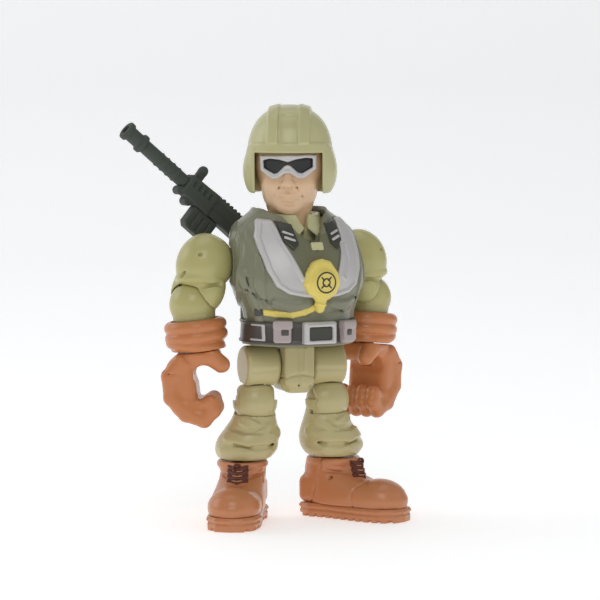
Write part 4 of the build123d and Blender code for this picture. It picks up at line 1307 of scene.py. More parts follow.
        end = slab((-15.9, self.front_at(-15.9, w + 10.2) - 0.5, w + 10.2), (1.3, 0.9, 1.1), 0.35,
                   (0, 0, -38))
        cast("mask_strap_end", mould(end, (-19, -20, 62), (-13, -8, 68), 0.7), WORLD, BLACK, "torso", ())
        route = [(-0.9, front - 1.3, w + 12.2), (-0.9, front - 1.5, w + 9.2), (1.2, front - 1.6, w + 8.0)]
        route += [(x, self.front_at(x, w + z) - 1.1, w + z) for x, z in ((4.6, 8.0), (8.2, 8.9), (11.6, 9.8))]
        values = {"Core Radius": 1.05 * MM, "Rib Radius": 1.15 * MM, "Rib Thickness": 0.32 * MM,
                  "Pitch": 0.95 * MM,
                  "Material": MASK.material()}
        hose = grow_nodes("mask_ribbed_hose", spline("hose_path", np.array(route)), ribbed_tree(), values)
        dress(hose, "torso", ["mask_hose"])

    def belt(self) -> None:
        """The belt with its buckle and pouches."""
        trunk, w = self.trunk(), self.waist
        level = Form(lambda p: np.abs(p[:, 2] - w - 4.1) - 3.1)
        edges = Form(lambda p: np.abs(np.abs(p[:, 2] - w - 4.1) - 2.9))
        band = trunk.grow(1.05).keep(level, blend=0.5).join(bead(trunk.grow(0.95), edges, 0.45), blend=0.3)
        band = band.carve(trunk.grow(0.1))
        cast("waist_belt", mould(band, (-19, -20, 54), (19, 17, 63), 1.1), WORLD, BLACK, "torso", ["belt"])
        front = self.front_at(-1.0, w + 4) - 1.2
        plate = slab((-1.0, front - 0.1, w + 4.1), (5.4, 1.4, 3.5), 0.8)
        hole = slab((-1.0, front - 1.5, w + 4.1), (3.9, 1.0, 2.1), 0.7)
        lip = bead(prism([(-5.4, w + 1.6), (3.4, w + 1.6), (3.4, w + 6.6), (-5.4, w + 6.6)], "xz", -40, 0,
                         1.0),
                   Form(lambda p: p[:, 1] - front + 1.4), 0.4)
        cast("belt_buckle_plate",
             mould(plate.carve(hole, blend=0.4).join(lip, blend=0.4).carve(trunk.grow(1.0)),
                                        (-8, -22, 56), (6, -14, 64), 0.8), WORLD, SILVER, "torso",
                                        ["belt_buckle"])
        inner = slab((-1.0, front - 0.6, w + 4.1), (3.95, 0.5, 2.15), 0.4)
        cast("belt_buckle_field", mould(inner, (-6, -22, 56), (4, -14, 64), 0.8), WORLD, BADGE, "torso", ())
        bags, flaps, studs = [], [], []
        for x, z, half in ((-11.4, 4.7, 2.7), (8.9, 4.2, 2.5)):
            y = self.front_at(x, w + z) - 1.2
            turn = (0, 0, math.degrees(math.atan2(x, 21)))
            bags.append(slab((x, y - 0.5, w + z), (half, 2.0, 3.3), 0.8, turn))
            flaps.append(slab((x, y - 0.8, w + z + 2.1), (half + 0.25, 2.1, 1.2), 0.6, turn))
            studs.append(slab((x, y - 2.2, w + z - 0.1), (half * 0.42, 0.75, 0.9), 0.3, turn))
        pouch = bags[0].join(flaps[0], blend=0.3).join(bags[1].join(flaps[1], blend=0.3))
        tube = drum((11.9, self.front_at(11.9, w + 4) - 1.6, w + 4.4), (0, 0, 1), 1.6, 3.0, 0.4)
        bore = drum((11.9, self.front_at(11.9, w + 4) - 1.6, w + 4.4), (0, 0, 1), 0.9, 4.0)
        made = pouch.join(tube.carve(bore), blend=0.2).carve(trunk.grow(1.0))
        cast("belt_pouch_pair", mould(made, (-16, -22, 54.8), (16, -9, 64), 0.8), WORLD, MAUVE, "torso",
             ["belt_pouches"])
        cast("belt_pouch_studs", mould(studs[0].join(studs[1]), (-16, -23, 54.8), (16, -9, 64), 0.8), WORLD,
             BLACK, "torso", ())
        box = prism([(-18.2, w + 2.0), (-15.4, w + 2.0), (-15.4, w + 6.4), (-18.2, w + 6.4)], "xz", -40, -2,
                    0.2)
        keeper = bead(box, trunk.grow(1.1), 0.32).keep(beyond("-y", -5))
        cast("belt_keeper", mould(keeper, (-20, -18, 55), (-13, -3, 63), 0.7), WORLD, SILVER, "torso", ())

    def pack(self) -> None:
        """The pack on the back: body, lid, pockets and straps."""
        w = self.waist
        body = slab((0, 12.9, w + 19.6), (9.9, 6.6, 16.2), 2.4)
        lid = slab((0, 13.2, w + 30.6), (9.95, 6.4, 5.3), 2.2)
        pocket = slab((0, 15.4, w + 11.4), (7.6, 4.0, 6.0), 1.8)
        sides = slab((8.4, 13.0, w + 14.0), (1.55, 4.8, 8.0), 1.2).both_sides()
        straps = slab((5.2, 15.6, w + 19.6), (1.1, 3.98, 16.1), 0.5).both_sides()
        buckles = slab((5.2, 18.9, w + 24.0), (1.7, 0.68, 1.3), 0.3).both_sides()
        crease = Form(lambda p: np.abs(p[:, 2] - w - 25.2 + 0.02 * p[:, 0] ** 2) - 0.25)
        form = body.join(lid, pocket, sides, blend=0.7).carve(crease.keep(body.grow(0.6), beyond("y", 8)),
                                                              blend=0.4)
        form = form.join(straps, buckles, blend=0.25).keep(Form(lambda p: p[:, 1] - 19.6), blend=0.3)
        clear = self.trunk().grow(0.35)
        low = slab((0, 10, w), (30, 8, 8.4)).keep(self.trunk().grow(1.4))
        stud = drum((0, 19.6, 82), (0, 1, 0), 1.56, 2.6)
        form = form.carve(clear, low, blend=0.2).carve(stud)
        # The pack takes the vest plastic darkened as painted shade.
        cast("back_pack", mould(form, (-11, 4, 57), (11, 20.5, 91.5), 1.1), WORLD, SHADED_VEST, "torso",
             ["backpack"])

    def build(self) -> None:
        """Make and dress the torso's pieces."""
        self.vest()
        self.plate()
        self.rivets()
        self.collar()
        self.mask()
        self.belt()
        self.pack()


# ------------------------------------------------------------------ legs

@dataclass(frozen=True)
class Legs:
    """The pelvis, both trouser legs, knee guards and boots."""

    knee: Vec = (11.4, 3.0, 36.4)
    splay: float = 14.0
    sole: float = 4.2
    boot_yaw: dict[str, float] = field(default_factory=lambda: {"left": 29.0, "right": -35.0})

    def hips_place(self, side: str = "left") -> Place:
        """The pelvis's own axes; the right leg is the left one mirrored.

        Args:
            side: "left" or "right".
        Returns:
            The place, with +X towards the outside of that leg.
        """
        across = -axis_of("left_hip_swing") if axis_of("left_hip_swing")[0] < 0 else axis_of("left_hip_swing")
        up = np.array([0.0, 0.0, 1.0])
        axes = np.array([across, np.cross(up, across), up])
        if side == "right":
            axes[0] = -axes[0]
        return Place(pivot("waist_turn") * np.array([1, 1, 0]), axes)

    def pelvis(self) -> None:
        """The trousers' seat with its fly flap."""
        core = slab((0, 1.5, 47), (4.9, 6, 7.4), 2.2)
        flap = slab((0, -4.2, 48.0), (4.75, 2.2, 6.2), 1.1)
        lower = slab((0, -3.6, 43.0), (3.4, 2.0, 3.6), 1.3)
        fly = bead(flap, Form(lambda p: p[:, 0] + 0.4 + 0.03 * (p[:, 2] - 48)), 0.28)
        step = bead(flap.join(lower), Form(lambda p: p[:, 2] - 45.2 + 0.05 * p[:, 0] ** 2), 0.3)
        ridge = rod((1.6, -6.5, 53.0), (1.5, -6.5, 46.5), 0.55)
        seat = core.join(flap, lower, blend=0.9).join(ridge, blend=0.6).carve(fly, step, blend=0.4)
        post = drum((0, 0, 56.5), (0, 0, 1), 4.4, 4.75).join(drum((0, 0, 60.6), (0, 0, 1), 5.6, 0.7, 0.2))
        bore = drum((0, 1.5, 47.5), (1, 0, 0), 1.5, 12)
        form = seat.keep(beyond("-z", 54.3)).join(post).carve(bore)
        cast("trouser_seat", mould(form, (-7, -9, 37), (7, 9, 62.5)), self.hips_place(), TROUSERS, "hips",
             ["pelvis"])

    def thigh(self, side: str) -> None:
        """A thigh: drum about the hip, wide trouser leg, tongue for the knee."""
        knee = spun(self.knee, self.splay)
        hip = drum((10.6, 1.5, 47.5), (1, 0, 0), 6.3, 5.35, 1.3)
        rows = [(47.5, 10.8, 1.5, 5.3, 6.1), (43.5, 11.2, 1.6, 5.8, 6.5), (40, 11.5, 2.1, 6.2, 6.7),
                (36.2, 11.7, 2.4, 6.2, 6.7)]
        leg = column(rows, power=2.6, rounding=0.7)
        folds = [rod((6.6, -4.3, 44.4), (15.2, -4.6, 42.6), 0.9),
                 rod((8.4, -5.0, 41.2), (16.6, -2.6, 39.8), 0.9),
                 rod((7.0, -4.7, 39.4), (11.4, -5.3, 38.2), 0.7),
                 rod((16.9, 3.0, 45.0), (17.5, 3.6, 39.4), 0.9)]
        creases = [rod((5.4, -5.2, 46.6), (15.8, -5.0, 46.0), 0.5),
                   rod((9.0, -5.6, 43.0), (14.0, -5.0, 41.0), 0.45)]
        pocket = bead(leg.grow(0.05),
                      prism([(8.2, 45.2), (13.4, 45.4), (13.6, 41.2), (8.4, 41.0)], "xz", -20, 0, 0.5), 0.25)
        shape = hip.join(leg, blend=0.8).join(folds[0].join(*folds[1:]).keep(leg.grow(0.75)), blend=1.4)
        shape = shape.carve(*creases, blend=0.8).carve(pocket, blend=0.3)
        room = ball((0, 0, 0), 7.45).placed(knee)
        tongue = slab((0, 0, 2.6), (2.2, 2.9, 4.5),
                      0.2).join(drum((0, 0, 0), (1, 0, 0), 3.9, 2.2)).placed(knee)
        shape = shape.keep(beyond("x", 5.25)).carve(room, blend=0.3).join(tongue)
        pin = drum((0, 0, 0), (1, 0, 0), 1.3, 12).placed(knee)
        shape = shape.carve(pin, drum((9.2, 1.5, 47.5), (1, 0, 0), 1.65, 4.9))
        cast(f"{side}_trouser_thigh", mould(shape, (4, -8, 31), (19, 12, 55)), self.hips_place(side),
             TROUSERS,
             f"{side}_thigh_group", [f"{side}_thigh"])

    def shin(self, side: str) -> None:
        """A trouser shin that balloons over the boot."""
        knee = spun(self.knee, self.splay)
        rows = [(19.0, 14.3, 4.9, 7.9, 8.1), (21.3, 13.9, 4.8, 9.2, 9.3), (24.6, 13.2, 4.6, 9.4, 9.5),
                (28.0, 12.3, 4.0, 8.2, 8.2),
                (31.0, 11.7, 3.4, 6.9, 7.0), (34.5, 11.4, 3.0, 5.9, 5.9)]
        leg = column(rows, rounding=1.0)
        rolls = [chain([(5.6, 0.6, 27.0), (9.8, -4.4, 25.6), (15.6, -4.8, 25.4), (21.0, 0.2, 26.6)], 1.5,
                       1.0),
                 chain([(6.6, 2.0, 22.6), (9.8, -3.4, 21.4), (15.4, -4.2, 21.2), (21.6, 1.8, 22.2)], 1.3,
                       1.0),
                 rod((13.0, -4.6, 29.4), (17.2, -1.8, 31.4), 1.1),
                 rod((7.4, -1.2, 30.4), (10.6, -4.4, 28.4), 1.0)]
        creases = [chain([(5.4, 2.0, 24.4), (9.4, -5.0, 23.4), (14.0, -5.4, 23.4), (19.4, -2.0, 24.0)],
                         0.45, 0.4),
                   rod((10.6, -4.8, 30.0), (15.4, -4.0, 28.0), 0.45),
                   rod((17.0, -3.4, 27.8), (20.6, 1.6, 29.0), 0.45)]
        shape = leg.join(rolls[0].join(*rolls[1:]).keep(leg.grow(0.55)), blend=1.5).carve(*creases, blend=0.9)
        shape = shape.join(ball((0, 0, 0), 6.0).placed(knee), blend=0.8)
        slot = slab((0, 5.3, 3.4), (2.4, 8.4, 7.9)).join(drum((0, 0, 0), (1, 0, 0), 4.1, 2.4)).placed(knee)
        guard = ball((0, 0, 0),
                     7.25).carve(ball((0, 0, 0), 6.0)).keep(Form(lambda p: p[:, 1] + 0.4)).placed(knee)
        pin = drum((0, 0, 0), (1, 0, 0), 1.15, 5.2).placed(knee)
        peg = drum((14.6, 5.5, 17.2), (0, 0, 1), 2.9, 3.0)
        shape = shape.carve(slot, guard, pin).keep(beyond("z", 18.75)).join(peg)
        cast(f"{side}_trouser_shin", mould(shape, (3, -7, 12), (25, 16, 43)), self.hips_place(side), TROUSERS,
             f"{side}_shin_group", [f"{side}_shin"])

    def guard(self, side: str) -> None:
        """A domed knee guard with its strap and buckles."""
        knee = spun(self.knee, self.splay)
        shell = ball((0, 0, 0),
                     7.1).carve(ball((0, 0, 0), 6.05)).keep(slab((0, -8, -0.2), (5.6, 7.3, 5.6), 1.2),
                                                            blend=0.3)
        rim = bead(ball((0, 0, 0), 6.9), slab((0, -8, -0.2), (5.1, 7.3, 5.1), 1.2),
                   0.5).keep(beyond("-y", -1.0))
        band = ball((0, 0, 0),
                    6.8).carve(ball((0, 0, 0), 6.05)).keep(slab((0, -4.2, -1.2), (9, 5.6, 1.7), 0.3),
                                                           blend=0.2)
        studs = oval((5.2, -4.2, -1.1), (0.8, 0.9, 1.1)).both_sides()
        form = shell.join(rim, band, blend=0.3).join(studs,
                                                     blend=0.3).keep(ball((0, 0, 0),
                                                                          7.2)).carve(ball((0, 0, 0), 6.04))
        cast(f"{side}_knee_guard", mould(form.placed(knee), (3, -6, 28), (20, 8, 44), 0.9),
             self.hips_place(side), TROUSERS,
             f"{side}_shin_group", [f"{side}_knee_pad"])

    def boot(self, side: str) -> None:
        """A laced boot with toe cap, tongue and lugged sole."""
        origin = pivot(f"{side}_boot_turn") * np.array([1, 1, 0])
        place = spun(origin, self.boot_yaw[side])
        if side == "right":
            place = Place(origin, place.axes * np.array([[-1], [1], [1]]))
        rows = [(4.2, 0, -8.7, 7.7, 17.0), (7.8, 0, -8.4, 7.9, 16.4), (11.1, 0, -3.5, 7.2, 12.0),
                (13.8, 0, 0.2, 6.9, 8.6),
                (18.5, 0, -0.2, 7.4, 8.0)]
        upper = column(rows, power=2.3, rounding=0.6)
        cap = oval((0, -17.4, 6.4), (7.7, 8.4, 6.2)).keep(beyond("z", 4.22))
        heel = slab((0, 5.6, 8.5), (6.6, 3.4, 4.2), 2.2)
        tongue = rod((0, -8.8, 11.9), (0, -7.7, 17.4), 2.7, 2.3)
        seam = bead(upper.join(cap), Form(lambda p: p[:, 1] + 14.6 - 0.05 * p[:, 0] ** 2), 0.35)
        side_seam = bead(upper, Form(lambda p: p[:, 1] - 1.6 + 0.35 * (p[:, 2] - 11)), 0.28)
        collar = hoop((0, -0.2, 17.4), (0, 0, 1), 7.0, 0.8)
        folds = [rod((-7.0, -3.0, 12.6), (0, -8.6, 11.6), 0.6), rod((7.0, -3.0, 12.8), (0, -8.4, 11.8), 0.6),
                 rod((-7.3, -1.0, 14.8), (-3.4, -7.4, 13.9), 0.5),
                 rod((7.3, -1.0, 14.9), (3.4, -7.4, 14.0), 0.5)]
        shape = upper.join(cap, heel, tongue, blend=1.6).join(collar.keep(beyond("-z", 18.4)), blend=0.8)
        shape = shape.carve(seam, side_seam, blend=0.4).carve(*folds, blend=0.7)
        shape = shape.keep(beyond("-z", 18.5)).keep(beyond("z", 4.22)).carve(drum((0, 0, 17), (0, 0, 1),
                                                                                  3.06, 3.6))
        cast(f"{side}_boot_upper", mould(shape, (-9, -27.5, 3.5), (9, 11, 20.5)), place, BOOT,
             f"{side}_boot_group",
             [f"{side}_boot"])
        outline = [(0, -26.4), (4.2, -25.6), (7.2, -21.8), (8.0, -15.6), (7.2, -7.5), (6.5, -1.5),
                   (7.1, 4.5), (5.6, 8.4), (0, 9.2)]
        outline += [(-x, y) for x, y in reversed(outline) if x > 0]
        welt = bead(prism(outline, "xy", 0, self.sole, 0.4), Form(lambda p: p[:, 2] - 3.3), 0.35)
        body = prism(outline, "xy", 0.9, self.sole, 0.4).join(welt, blend=0.3)
        body = body.carve(bead(prism(outline, "xy", -1, 6), Form(lambda p: p[:, 2] - 2.4), 0.28))
        lugs = prism(outline, "xy", 0.0, 1.4, 0.2)
        for y in np.arange(-24.0, 9.0, 2.9):
            lugs = lugs.carve(slab((0, float(y), 0.2), (12, 0.65, 1.0)))
        cast(f"{side}_boot_outsole", mould(body.join(lugs), (-9.5, -28, -0.5), (9.5, 11, 5.2)), place, BOOT,
             f"{side}_boot_group", [f"{side}_boot_sole"])
        laces = None
        for i in range(4):
            z = 12.6 + 1.45 * i
            y = float(np.interp(z, (12.6, 17.0), (-11.6, -10.3)))
            for k in (-1, 1):
                lace = chain([(-2.9 * k, y + 1.7, z - 0.45), (0, y - 0.05, z),
                              (2.9 * k, y + 1.7, z + 0.55)], 0.42, 0.3)
                laces = lace if laces is None else laces.join(lace, blend=0.15)
        bow = hoop((0, -10.2, 17.2), (0.2, 1, 0.2), 1.1, 0.36)
        laces = laces.join(bow).carve(shape.grow(-0.5)).keep(beyond("-z", 18.6))
        cast(f"{side}_lacing", mould(laces, (-5, -14, 11), (5, -5, 19.5), 0.7), place, LACE,
             f"{side}_boot_group",
             [f"{side}_boot_laces"])

    def build(self) -> None:
        """Make and dress the pelvis, legs and boots."""
        self.pelvis()
        for side in ("left", "right"):
            self.thigh(side)
            self.shin(side)
            self.guard(side)
            self.boot(side)


# ------------------------------------------------------------------ arms

@dataclass(frozen=True)
class Arms:
    """Both sleeves, the rolled cuffs and the C-shaped gloves."""

    grip: Vec = (1.3, 0.0, -21.4)
    half_width: float = 7.7
    palm: tuple[tuple[float, float], ...] = ((-6.5, 5.0), (-10.4, 1.0), (-10.5, -5.5), (-6.5, -10.9),
                                             (-1.5, -13.2),
                                             (1.6, -10.6), (1.3, -8.0))

    def turned(self, side: str, name: str, rows: np.ndarray) -> Place:
        """A place at a left joint, mirrored for the right arm.

        Args:
            side: "left" or "right".
            name: The joint's name after the side.
            rows: The left arm's axes, one a row.
        Returns:
            The place for that side.
        """
        k = np.array([1.0 if side == "left" else -1.0, 1.0, 1.0])
        return Place(pivot(f"{side}_{name}"), rows * k)

    def shoulder_place(self, side: str) -> Place:
        """Axes of the upper arm, leaning out from the body."""
        return self.turned(side, "shoulder_raise",
                           np.array([[0.940, 0, 0.342], [0, 1, 0], [-0.342, 0, 0.940]]))

    def elbow_place(self, side: str) -> Place:
        """Axes of the forearm: Z up the arm, X towards the palm."""
        y = -axis_of("left_elbow_bend")
        z = -axis_of("left_wrist_turn")
        return self.turned(side, "elbow_bend", np.array([np.cross(y, z), y, z]))

    def upper(self, side: str) -> None:
        """The rounded shoulder with its sleeve fold, biceps and triceps."""
        place, elbow = self.shoulder_place(side), self.elbow_place(side)
        k = np.array([1.0 if side == "left" else -1.0, 1.0, 1.0])
        inside = 20.75
        deltoid = oval((1.4, -0.6, -0.8), (7.8, 8.2, 9.4))
        fold = hoop((0.6, -0.4, -5.6), (0.28, 0.1, 1), 5.9, 1.7, 0.8)
        biceps = oval((-1.9, -2.8, -8.0), (5.2, 5.6, 7.6))
        triceps = oval((1.5, 2.8, -9.0), (5.2, 5.2, 7.4))
        crease = rod((5.6, -6.4, 1.0), (7.2, -2.6, -6.4), 0.5)
        crease_two = rod((-3.0, -7.6, -5.4), (3.8, -6.8, -8.4), 0.5)
        shape = deltoid.join(fold.keep(deltoid.grow(0.8)), blend=0.9).join(biceps.join(triceps, blend=0.9),
                                                                           blend=0.7)
        shape = shape.carve(crease, crease_two, blend=0.9)
        middle = WORLD.origin[0]
        mirror = float(k[0])

        def beside(p: Points) -> np.ndarray:
            """Keeps the sleeve off the chest."""
            return inside - mirror * (place.to_world(p)[:, 0] - middle)
        centre = elbow.origin
        room = Form(lambda p: np.linalg.norm(place.to_world(p) - centre, axis=1) - 7.5)
        knob = ball((0, 0, 0), 8.5)
        shape = shape.keep(Form(beside), blend=0.4).join(knob, blend=0.3).carve(room, blend=0.2)
        tongue = slab((0, 0, 2.4), (2.2, 2.6, 5.2), 0.3).join(drum((0, 0, 0), (0, 1, 0), 3.4, 2.2))
        flat = Form(lambda p: tongue.distance(elbow.to_local(place.to_world(p))))
        pin = Form(lambda p: drum((0, 0, 0), (0, 1, 0), 1.4, 9).distance(elbow.to_local(place.to_world(p))))
        shape = shape.join(flat.keep(Form(lambda p: np.linalg.norm(place.to_world(p) - centre,
                                                                   axis=1) - 9.5))).carve(pin)
        cast(f"{side}_sleeve_arm", mould(shape, (-10, -11, -24), (11, 11, 11)), place, SHIRT, f"{side}_arm",
             [f"{side}_upper_arm"])

    def cuff(self, side: str) -> None:
        """Three soft rolls round the wrist."""
        rolls = [hoop((0, 0, -6.5), (0, 0, 1), 7.5, 2.0), hoop((0, 0, -9.5), (0, 0, 1), 7.6, 1.95),
                 hoop((-0.5, 0, -12.1), (0.18, 0, 1), 7.3, 1.8)]
        form = rolls[0].join(*rolls[1:], blend=0.35).join(drum((0, 0, -9.2), (0, 0, 1), 8.1, 4.4, 0.6),
                                                          blend=0.5)
        form = form.keep(Form(lambda p: np.abs(p[:, 2] + 9.2) - 4.7)).carve(drum((0, 0, -9), (0, 0, 1),
                                                                                 7.35, 9))
        cast(f"{side}_cuff_rolls", mould(form, (-11, -11, -16), (11, 11, -3)), self.elbow_place(side),
             GLOVE, f"{side}_hand",
             [f"{side}_glove_cuff"])

    def glove(self, side: str) -> None:
        """A fist curled into an open C, with four fingers and a thumb."""
        hand = None
        for y in (-5.5, -1.85, 1.85, 5.5):
            finger = chain([(u, y, v) for u, v in self.palm], 2.35, 0.6)
            knuckle = ball((-10.0, y, 0.6), 2.5).join(ball((-6.6, y, -10.6), 2.45), blend=0.4)
            finger = finger.join(knuckle, blend=0.7)
            hand = finger if hand is None else hand.join(finger, blend=0.35)
        fill = slab((-6.6, 0, -2.6), (4.0, 7.0, 8.6), 2.4)
        wrist = slab((-1.0, 0, 5.0), (6.2, 6.2, 3.4), 2.6)
        heel_of_hand = slab((-3.4, 0, -9.4), (4.4, 7.0, 2.6), 1.6)
        thumb = chain([(-2.6, 4.4, 6.6), (3.0, 5.0, 5.6), (5.6, 4.6, 2.8)], 2.6, 1.0)
        seam = bead(slab((-6.6, 0, -2.6), (4.8, 7.8, 8.6), 2.4),
                    Form(lambda p: p[:, 2] - 2.6 + 0.1 * p[:, 1]), 0.25)
        back_line = rod((-11.6, -6.0, 3.4), (-11.6, 6.0, 2.2), 0.5)
        form = hand.join(fill, wrist, heel_of_hand, blend=1.2).join(thumb, blend=1.0)
        form = form.carve(seam, back_line, blend=0.4)
        form = form.carve(drum((0, 0, 0), (0, 1, 0), 3.2, 12), slab((4.6, 0, -2.2), (4.6, 12, 2.4), 0.4),
                          blend=0.4)
        form = form.keep(Form(lambda p: np.abs(p[:, 1]) - self.half_width),
                         blend=0.3).keep(Form(lambda p: p[:, 2] - 7.3))
        peg = drum((-self.grip[0], 0, 7.2), (0, 0, 1), 2.66, 7)
        elbow = self.elbow_place(side)
        place = Place(elbow.to_world(np.array([self.grip]))[0], elbow.axes)
        cast(f"{side}_curled_glove", mould(form.carve(peg), (-15, -9, -17), (10, 9, 9)), place, GLOVE,
             f"{side}_hand",
             [f"{side}_glove"])

    def build(self) -> None:
        """Make and dress both arms."""
        for side in ("left", "right"):
            self.upper(side)
            self.cuff(side)
            self.glove(side)


# ------------------------------------------------------------------ rifle

@dataclass(frozen=True)
class Rifle:
    """The toy rifle on the back, drawn along its barrel (x) and up through its sights (z)."""

    slope: float = 40.0

    def place(self) -> Place:
        """Axes of the rifle: X towards the muzzle, Z towards the sights."""
        low, high = node_box("rifle_barrel")
        a = math.radians(self.slope)
        origin = np.array([pivot("clip_turn")[0], (low[1] + high[1]) / 2, pivot("clip_turn")[2]])
        return Place(origin, np.array([[-math.cos(a), 0, math.sin(a)], [0, -1, 0],
                                       [math.sin(a), 0, math.cos(a)]]))

    def outline(self, points: Sequence[tuple[float, float]], half: float, rounding: float = 0.5) -> Form:
        """A flat shape cut along the rifle, of a given half thickness."""
        return prism(points, "xz", -half, half, rounding)

    def receiver(self) -> Form:
        """The body with its grip, rail and guard."""
        body = self.outline([(-18, -3.4), (20.4, -3.4), (20.4, 2.4), (19.0, 3.0), (-18, 3.0)], 2.3)
        guard = self.outline([(20.4, -3.8), (32, -3.4), (32, 3.2), (20.4, 3.8)], 2.9, 0.8)
        rail = slab((12, 0, 3.2), (7.5, 1.2, 1.2), 0.3)
        grip = slab((-13, 0, -6.0), (2.0, 1.9, 3.6), 0.9, (0, -14, 0))
        knobs = drum((32, 0, -3.0), (0, 1, 0), 1.4, 2.2,
                     0.4).join(drum((28, 0, -4.0), (0, 1, 0), 1.5, 2.2, 0.4))
        port = slab((2.0, -2.3, 0.6), (4.0, 0.35, 1.1), 0.2)
        lever = rod((8.2, -2.35, 1.4), (10.4, -2.35, 1.4), 0.5)
        line = bead(body, Form(lambda p: p[:, 2] + 0.9), 0.22)
        slots = [slab((x, 0, 1.2), (0.5, 5, 0.9), 0.2) for x in (23.0, 25.2, 27.4, 29.6)]
        ribs = [slab((x, 0, 4.2), (0.35, 2, 0.45)) for x in np.arange(6.0, 19.0, 1.6)]
        form = body.join(guard, grip, blend=0.6).join(rail, knobs, blend=0.3).carve(port, line, *ribs,
                                                                                    blend=0.2)
        shallow = slots[0].join(*slots[1:]).carve(slab((26, 0, 1), (6, 2.35, 3)))
        return form.carve(shallow, blend=0.2).join(lever, blend=0.2)

    def build(self) -> None:
        """Make and dress the rifle's six pieces."""
        place = self.place()
        barrel = drum((41.0, 0, 0), (1, 0, 0), 2.2, 9.0, 0.3)
        rings = [hoop((x, 0, 0), (1, 0, 0), 2.15, 0.3) for x in (36.0, 38.4, 40.8, 43.2)]
        barrel = barrel.join(*rings, blend=0.3)
        tip = drum((53.7, 0, 0), (1, 0, 0), 2.3, 3.8, 0.3).join(drum((50.8, 0, 0), (1, 0, 0), 3.0, 0.8, 0.3),
                                                              drum((56.7, 0, 0), (1, 0, 0), 2.95, 0.8, 0.3),
                                                              blend=0.6)
        tip = tip.carve(drum((56, 0, 0), (1, 0, 0), 1.3, 3))
        magazine = self.outline([(15.6, -3.6), (25.2, -3.6), (25.2, -9.4), (23.8, -10.6), (16.6, -10.6),
                                 (15.6, -9.8)], 2.1)
        grooves = [slab((x, 0, -7.2), (0.3, 4, 2.4)) for x in (18.0, 20.4, 22.8)]
        core = slab((20.4, 0, -7), (9, 1.85, 9))
        magazine = magazine.carve(grooves[0].join(*grooves[1:]).carve(core), blend=0.2)
        stock = self.outline([(-18, -2.6), (-40, -2.4), (-41, -6.2), (-48, -6.2), (-48, 2.6), (-34, 3.8),
                              (-18, 2.2)], 2.0, 0.8)
        stock = stock.carve(self.outline([(-24, -1.0), (-36, -1.0), (-36, 1.0), (-24, 1.0)], 4, 0.4).carve(
            slab((-30, 0, 0), (9, 1.5, 3))), blend=0.3)
        sights = slab((-9.4, 0, 4.8), (3.6, 1.25, 2.1), 0.5).join(slab((29.3, 0, 4.6), (1.4, 0.95, 2.0), 0.3),
                                                                ball((29.3, 0, 6.6), 1.6), blend=0.4)
        sights = sights.carve(drum((-9.4, 0, 5.4), (1, 0, 0), 0.7, 9))
        for name, form, low, high in (
                ("receiver", self.receiver(), (-20, -4, -12), (35, 4, 7)),
                ("barrel", barrel, (31, -4, -4), (51, 4, 4)),
                ("muzzle", tip, (49, -4, -4), (59, 4, 4)), ("magazine", magazine, (14, -4, -12), (27, 4, -2)),
                ("stock", stock, (-50, -4, -8), (-16, 4, 6)), ("sights", sights, (-15, -4, 1), (33, 4, 10))):
            cast(f"toy_{name}", mould(form, low, high), place, RIFLE, "rifle", [f"rifle_{name}"])


PARTS = (Head, Torso, Legs, Arms, Rifle)


# ------------------------------------------------------------------ setting

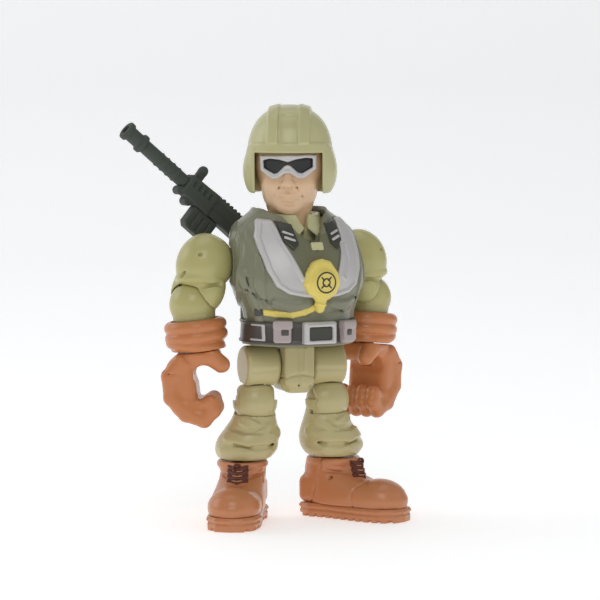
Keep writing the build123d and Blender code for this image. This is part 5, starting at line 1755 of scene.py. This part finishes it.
@dataclass(frozen=True)
class Setting:
    """The pale floor, the soft lights and the camera."""

    azimuth: float = -27.0
    elevation: float = 4.5
    distance: float = 0.9
    lens: float = 178.0
    look_at: Vec = (1.3, -0.7, 67.4)

    def build(self) -> None:
        """Make the floor, the lights and the camera."""
        self.floor()
        self.light("key", (-0.35, -0.62, 0.62), 0.42, 1.25)
        self.light("fill", (0.60, -0.50, 0.30), 0.60, 0.3)
        self.light("top", (0.0, 0.10, 0.80), 0.55, 0.8)
        self.light("back_left", (-0.60, 0.45, 0.45), 0.40, 0.6)
        world = bpy.data.worlds.new("studio")
        world.use_nodes = True
        world.node_tree.nodes["Background"].inputs["Color"].default_value = (0.95, 0.97, 1.0, 1)
        world.node_tree.nodes["Background"].inputs["Strength"].default_value = 0.34
        bpy.context.scene.world = world
        bpy.context.scene.view_settings.view_transform = "Standard"
        self.camera()

    def floor(self) -> None:
        """A plain pale sweep under and behind the figure."""
        rows = [(-1.6, 0.0), (-0.8, 0.0), (0.5, 0.0), (0.8, 0.02), (1.05, 0.12), (1.2, 0.35), (1.25, 1.6)]
        corners = [(x, y, z) for y, z in rows for x in (-2.0, 2.0)]
        faces = [(2 * i, 2 * i + 1, 2 * i + 3, 2 * i + 2) for i in range(len(rows) - 1)]
        mesh = bpy.data.meshes.new("floor")
        mesh.from_pydata(corners, [], faces)
        mesh.shade_smooth()
        mat = bpy.data.materials.new("pale_card")
        mat.use_nodes = True
        shader = mat.node_tree.nodes["Principled BSDF"]
        shader.inputs["Base Color"].default_value = (0.92, 0.92, 0.92, 1)
        shader.inputs["Roughness"].default_value = 0.8
        shader.inputs["Emission Color"].default_value = (1.0, 1.0, 1.0, 1)
        shader.inputs["Emission Strength"].default_value = 0.42
        mesh.materials.append(mat)
        sheet = bpy.data.objects.new("floor", mesh)
        bpy.context.scene.collection.objects.link(sheet)

    def light(self, name: str, where: Vec, size: float, power: float) -> None:
        """A square soft light aimed at the figure's chest."""
        data = bpy.data.lights.new(name, "AREA")
        data.energy, data.size = power, size
        lamp = bpy.data.objects.new(name, data)
        lamp.location = where
        lamp.rotation_euler = aim(where, (0, 0, 0.07))
        bpy.context.scene.collection.objects.link(lamp)

    def camera(self) -> None:
        """The camera, from the figure's front right, a little above its waist."""
        a, e = math.radians(self.azimuth), math.radians(self.elevation)
        back = (math.sin(a) * math.cos(e), -math.cos(a) * math.cos(e), math.sin(e))
        target = [(c + o) * MM for c, o in zip(self.look_at, WORLD.origin)]
        where = tuple(t + b * self.distance for t, b in zip(target, back))
        data = bpy.data.cameras.new("camera")
        data.lens, data.sensor_width, data.clip_start = self.lens, 36.0, 0.01
        camera = bpy.data.objects.new("camera", data)
        camera.location = where
        camera.rotation_euler = aim(where, target)
        bpy.context.scene.collection.objects.link(camera)
        bpy.context.scene.camera = camera


def aim(where: Sequence[float], at: Sequence[float]) -> mathutils.Euler:
    """The turn of a lamp or camera that looks from one point at another."""
    return (mathutils.Vector(at) - mathutils.Vector(where)).to_track_quat("-Z", "Y").to_euler()


def paint_carried_nodes() -> None:
    """Give the CAD nodes that stay in sight their own finishes."""
    # The rifle clip takes the vest plastic darkened as painted shade.
    finishes = {"hip_axle": STEEL, "neck_peg": PLASTIC, "torso_front": VEST, "torso_back": VEST,
                "rifle_clip": SHADED_VEST}
    for side in ("left", "right"):
        finishes |= {f"{side}_knee_pin": STEEL, f"{side}_elbow_pin": STEEL, f"{side}_shoulder_peg": PLASTIC}
        finishes[f"{side}_forearm"] = SHIRT
    for name, finish in finishes.items():
        part = bpy.data.objects[name]
        for slot in part.material_slots:
            slot.material = finish.material()


def main() -> None:
    """Build the setting and every sub-assembly in order, then give the carried CAD nodes their finishes."""
    logging.basicConfig(level=logging.INFO, format="%(message)s")
    Setting().build()
    for part in PARTS:
        part().build()
    paint_carried_nodes()


if __name__ == "__main__":
    main()
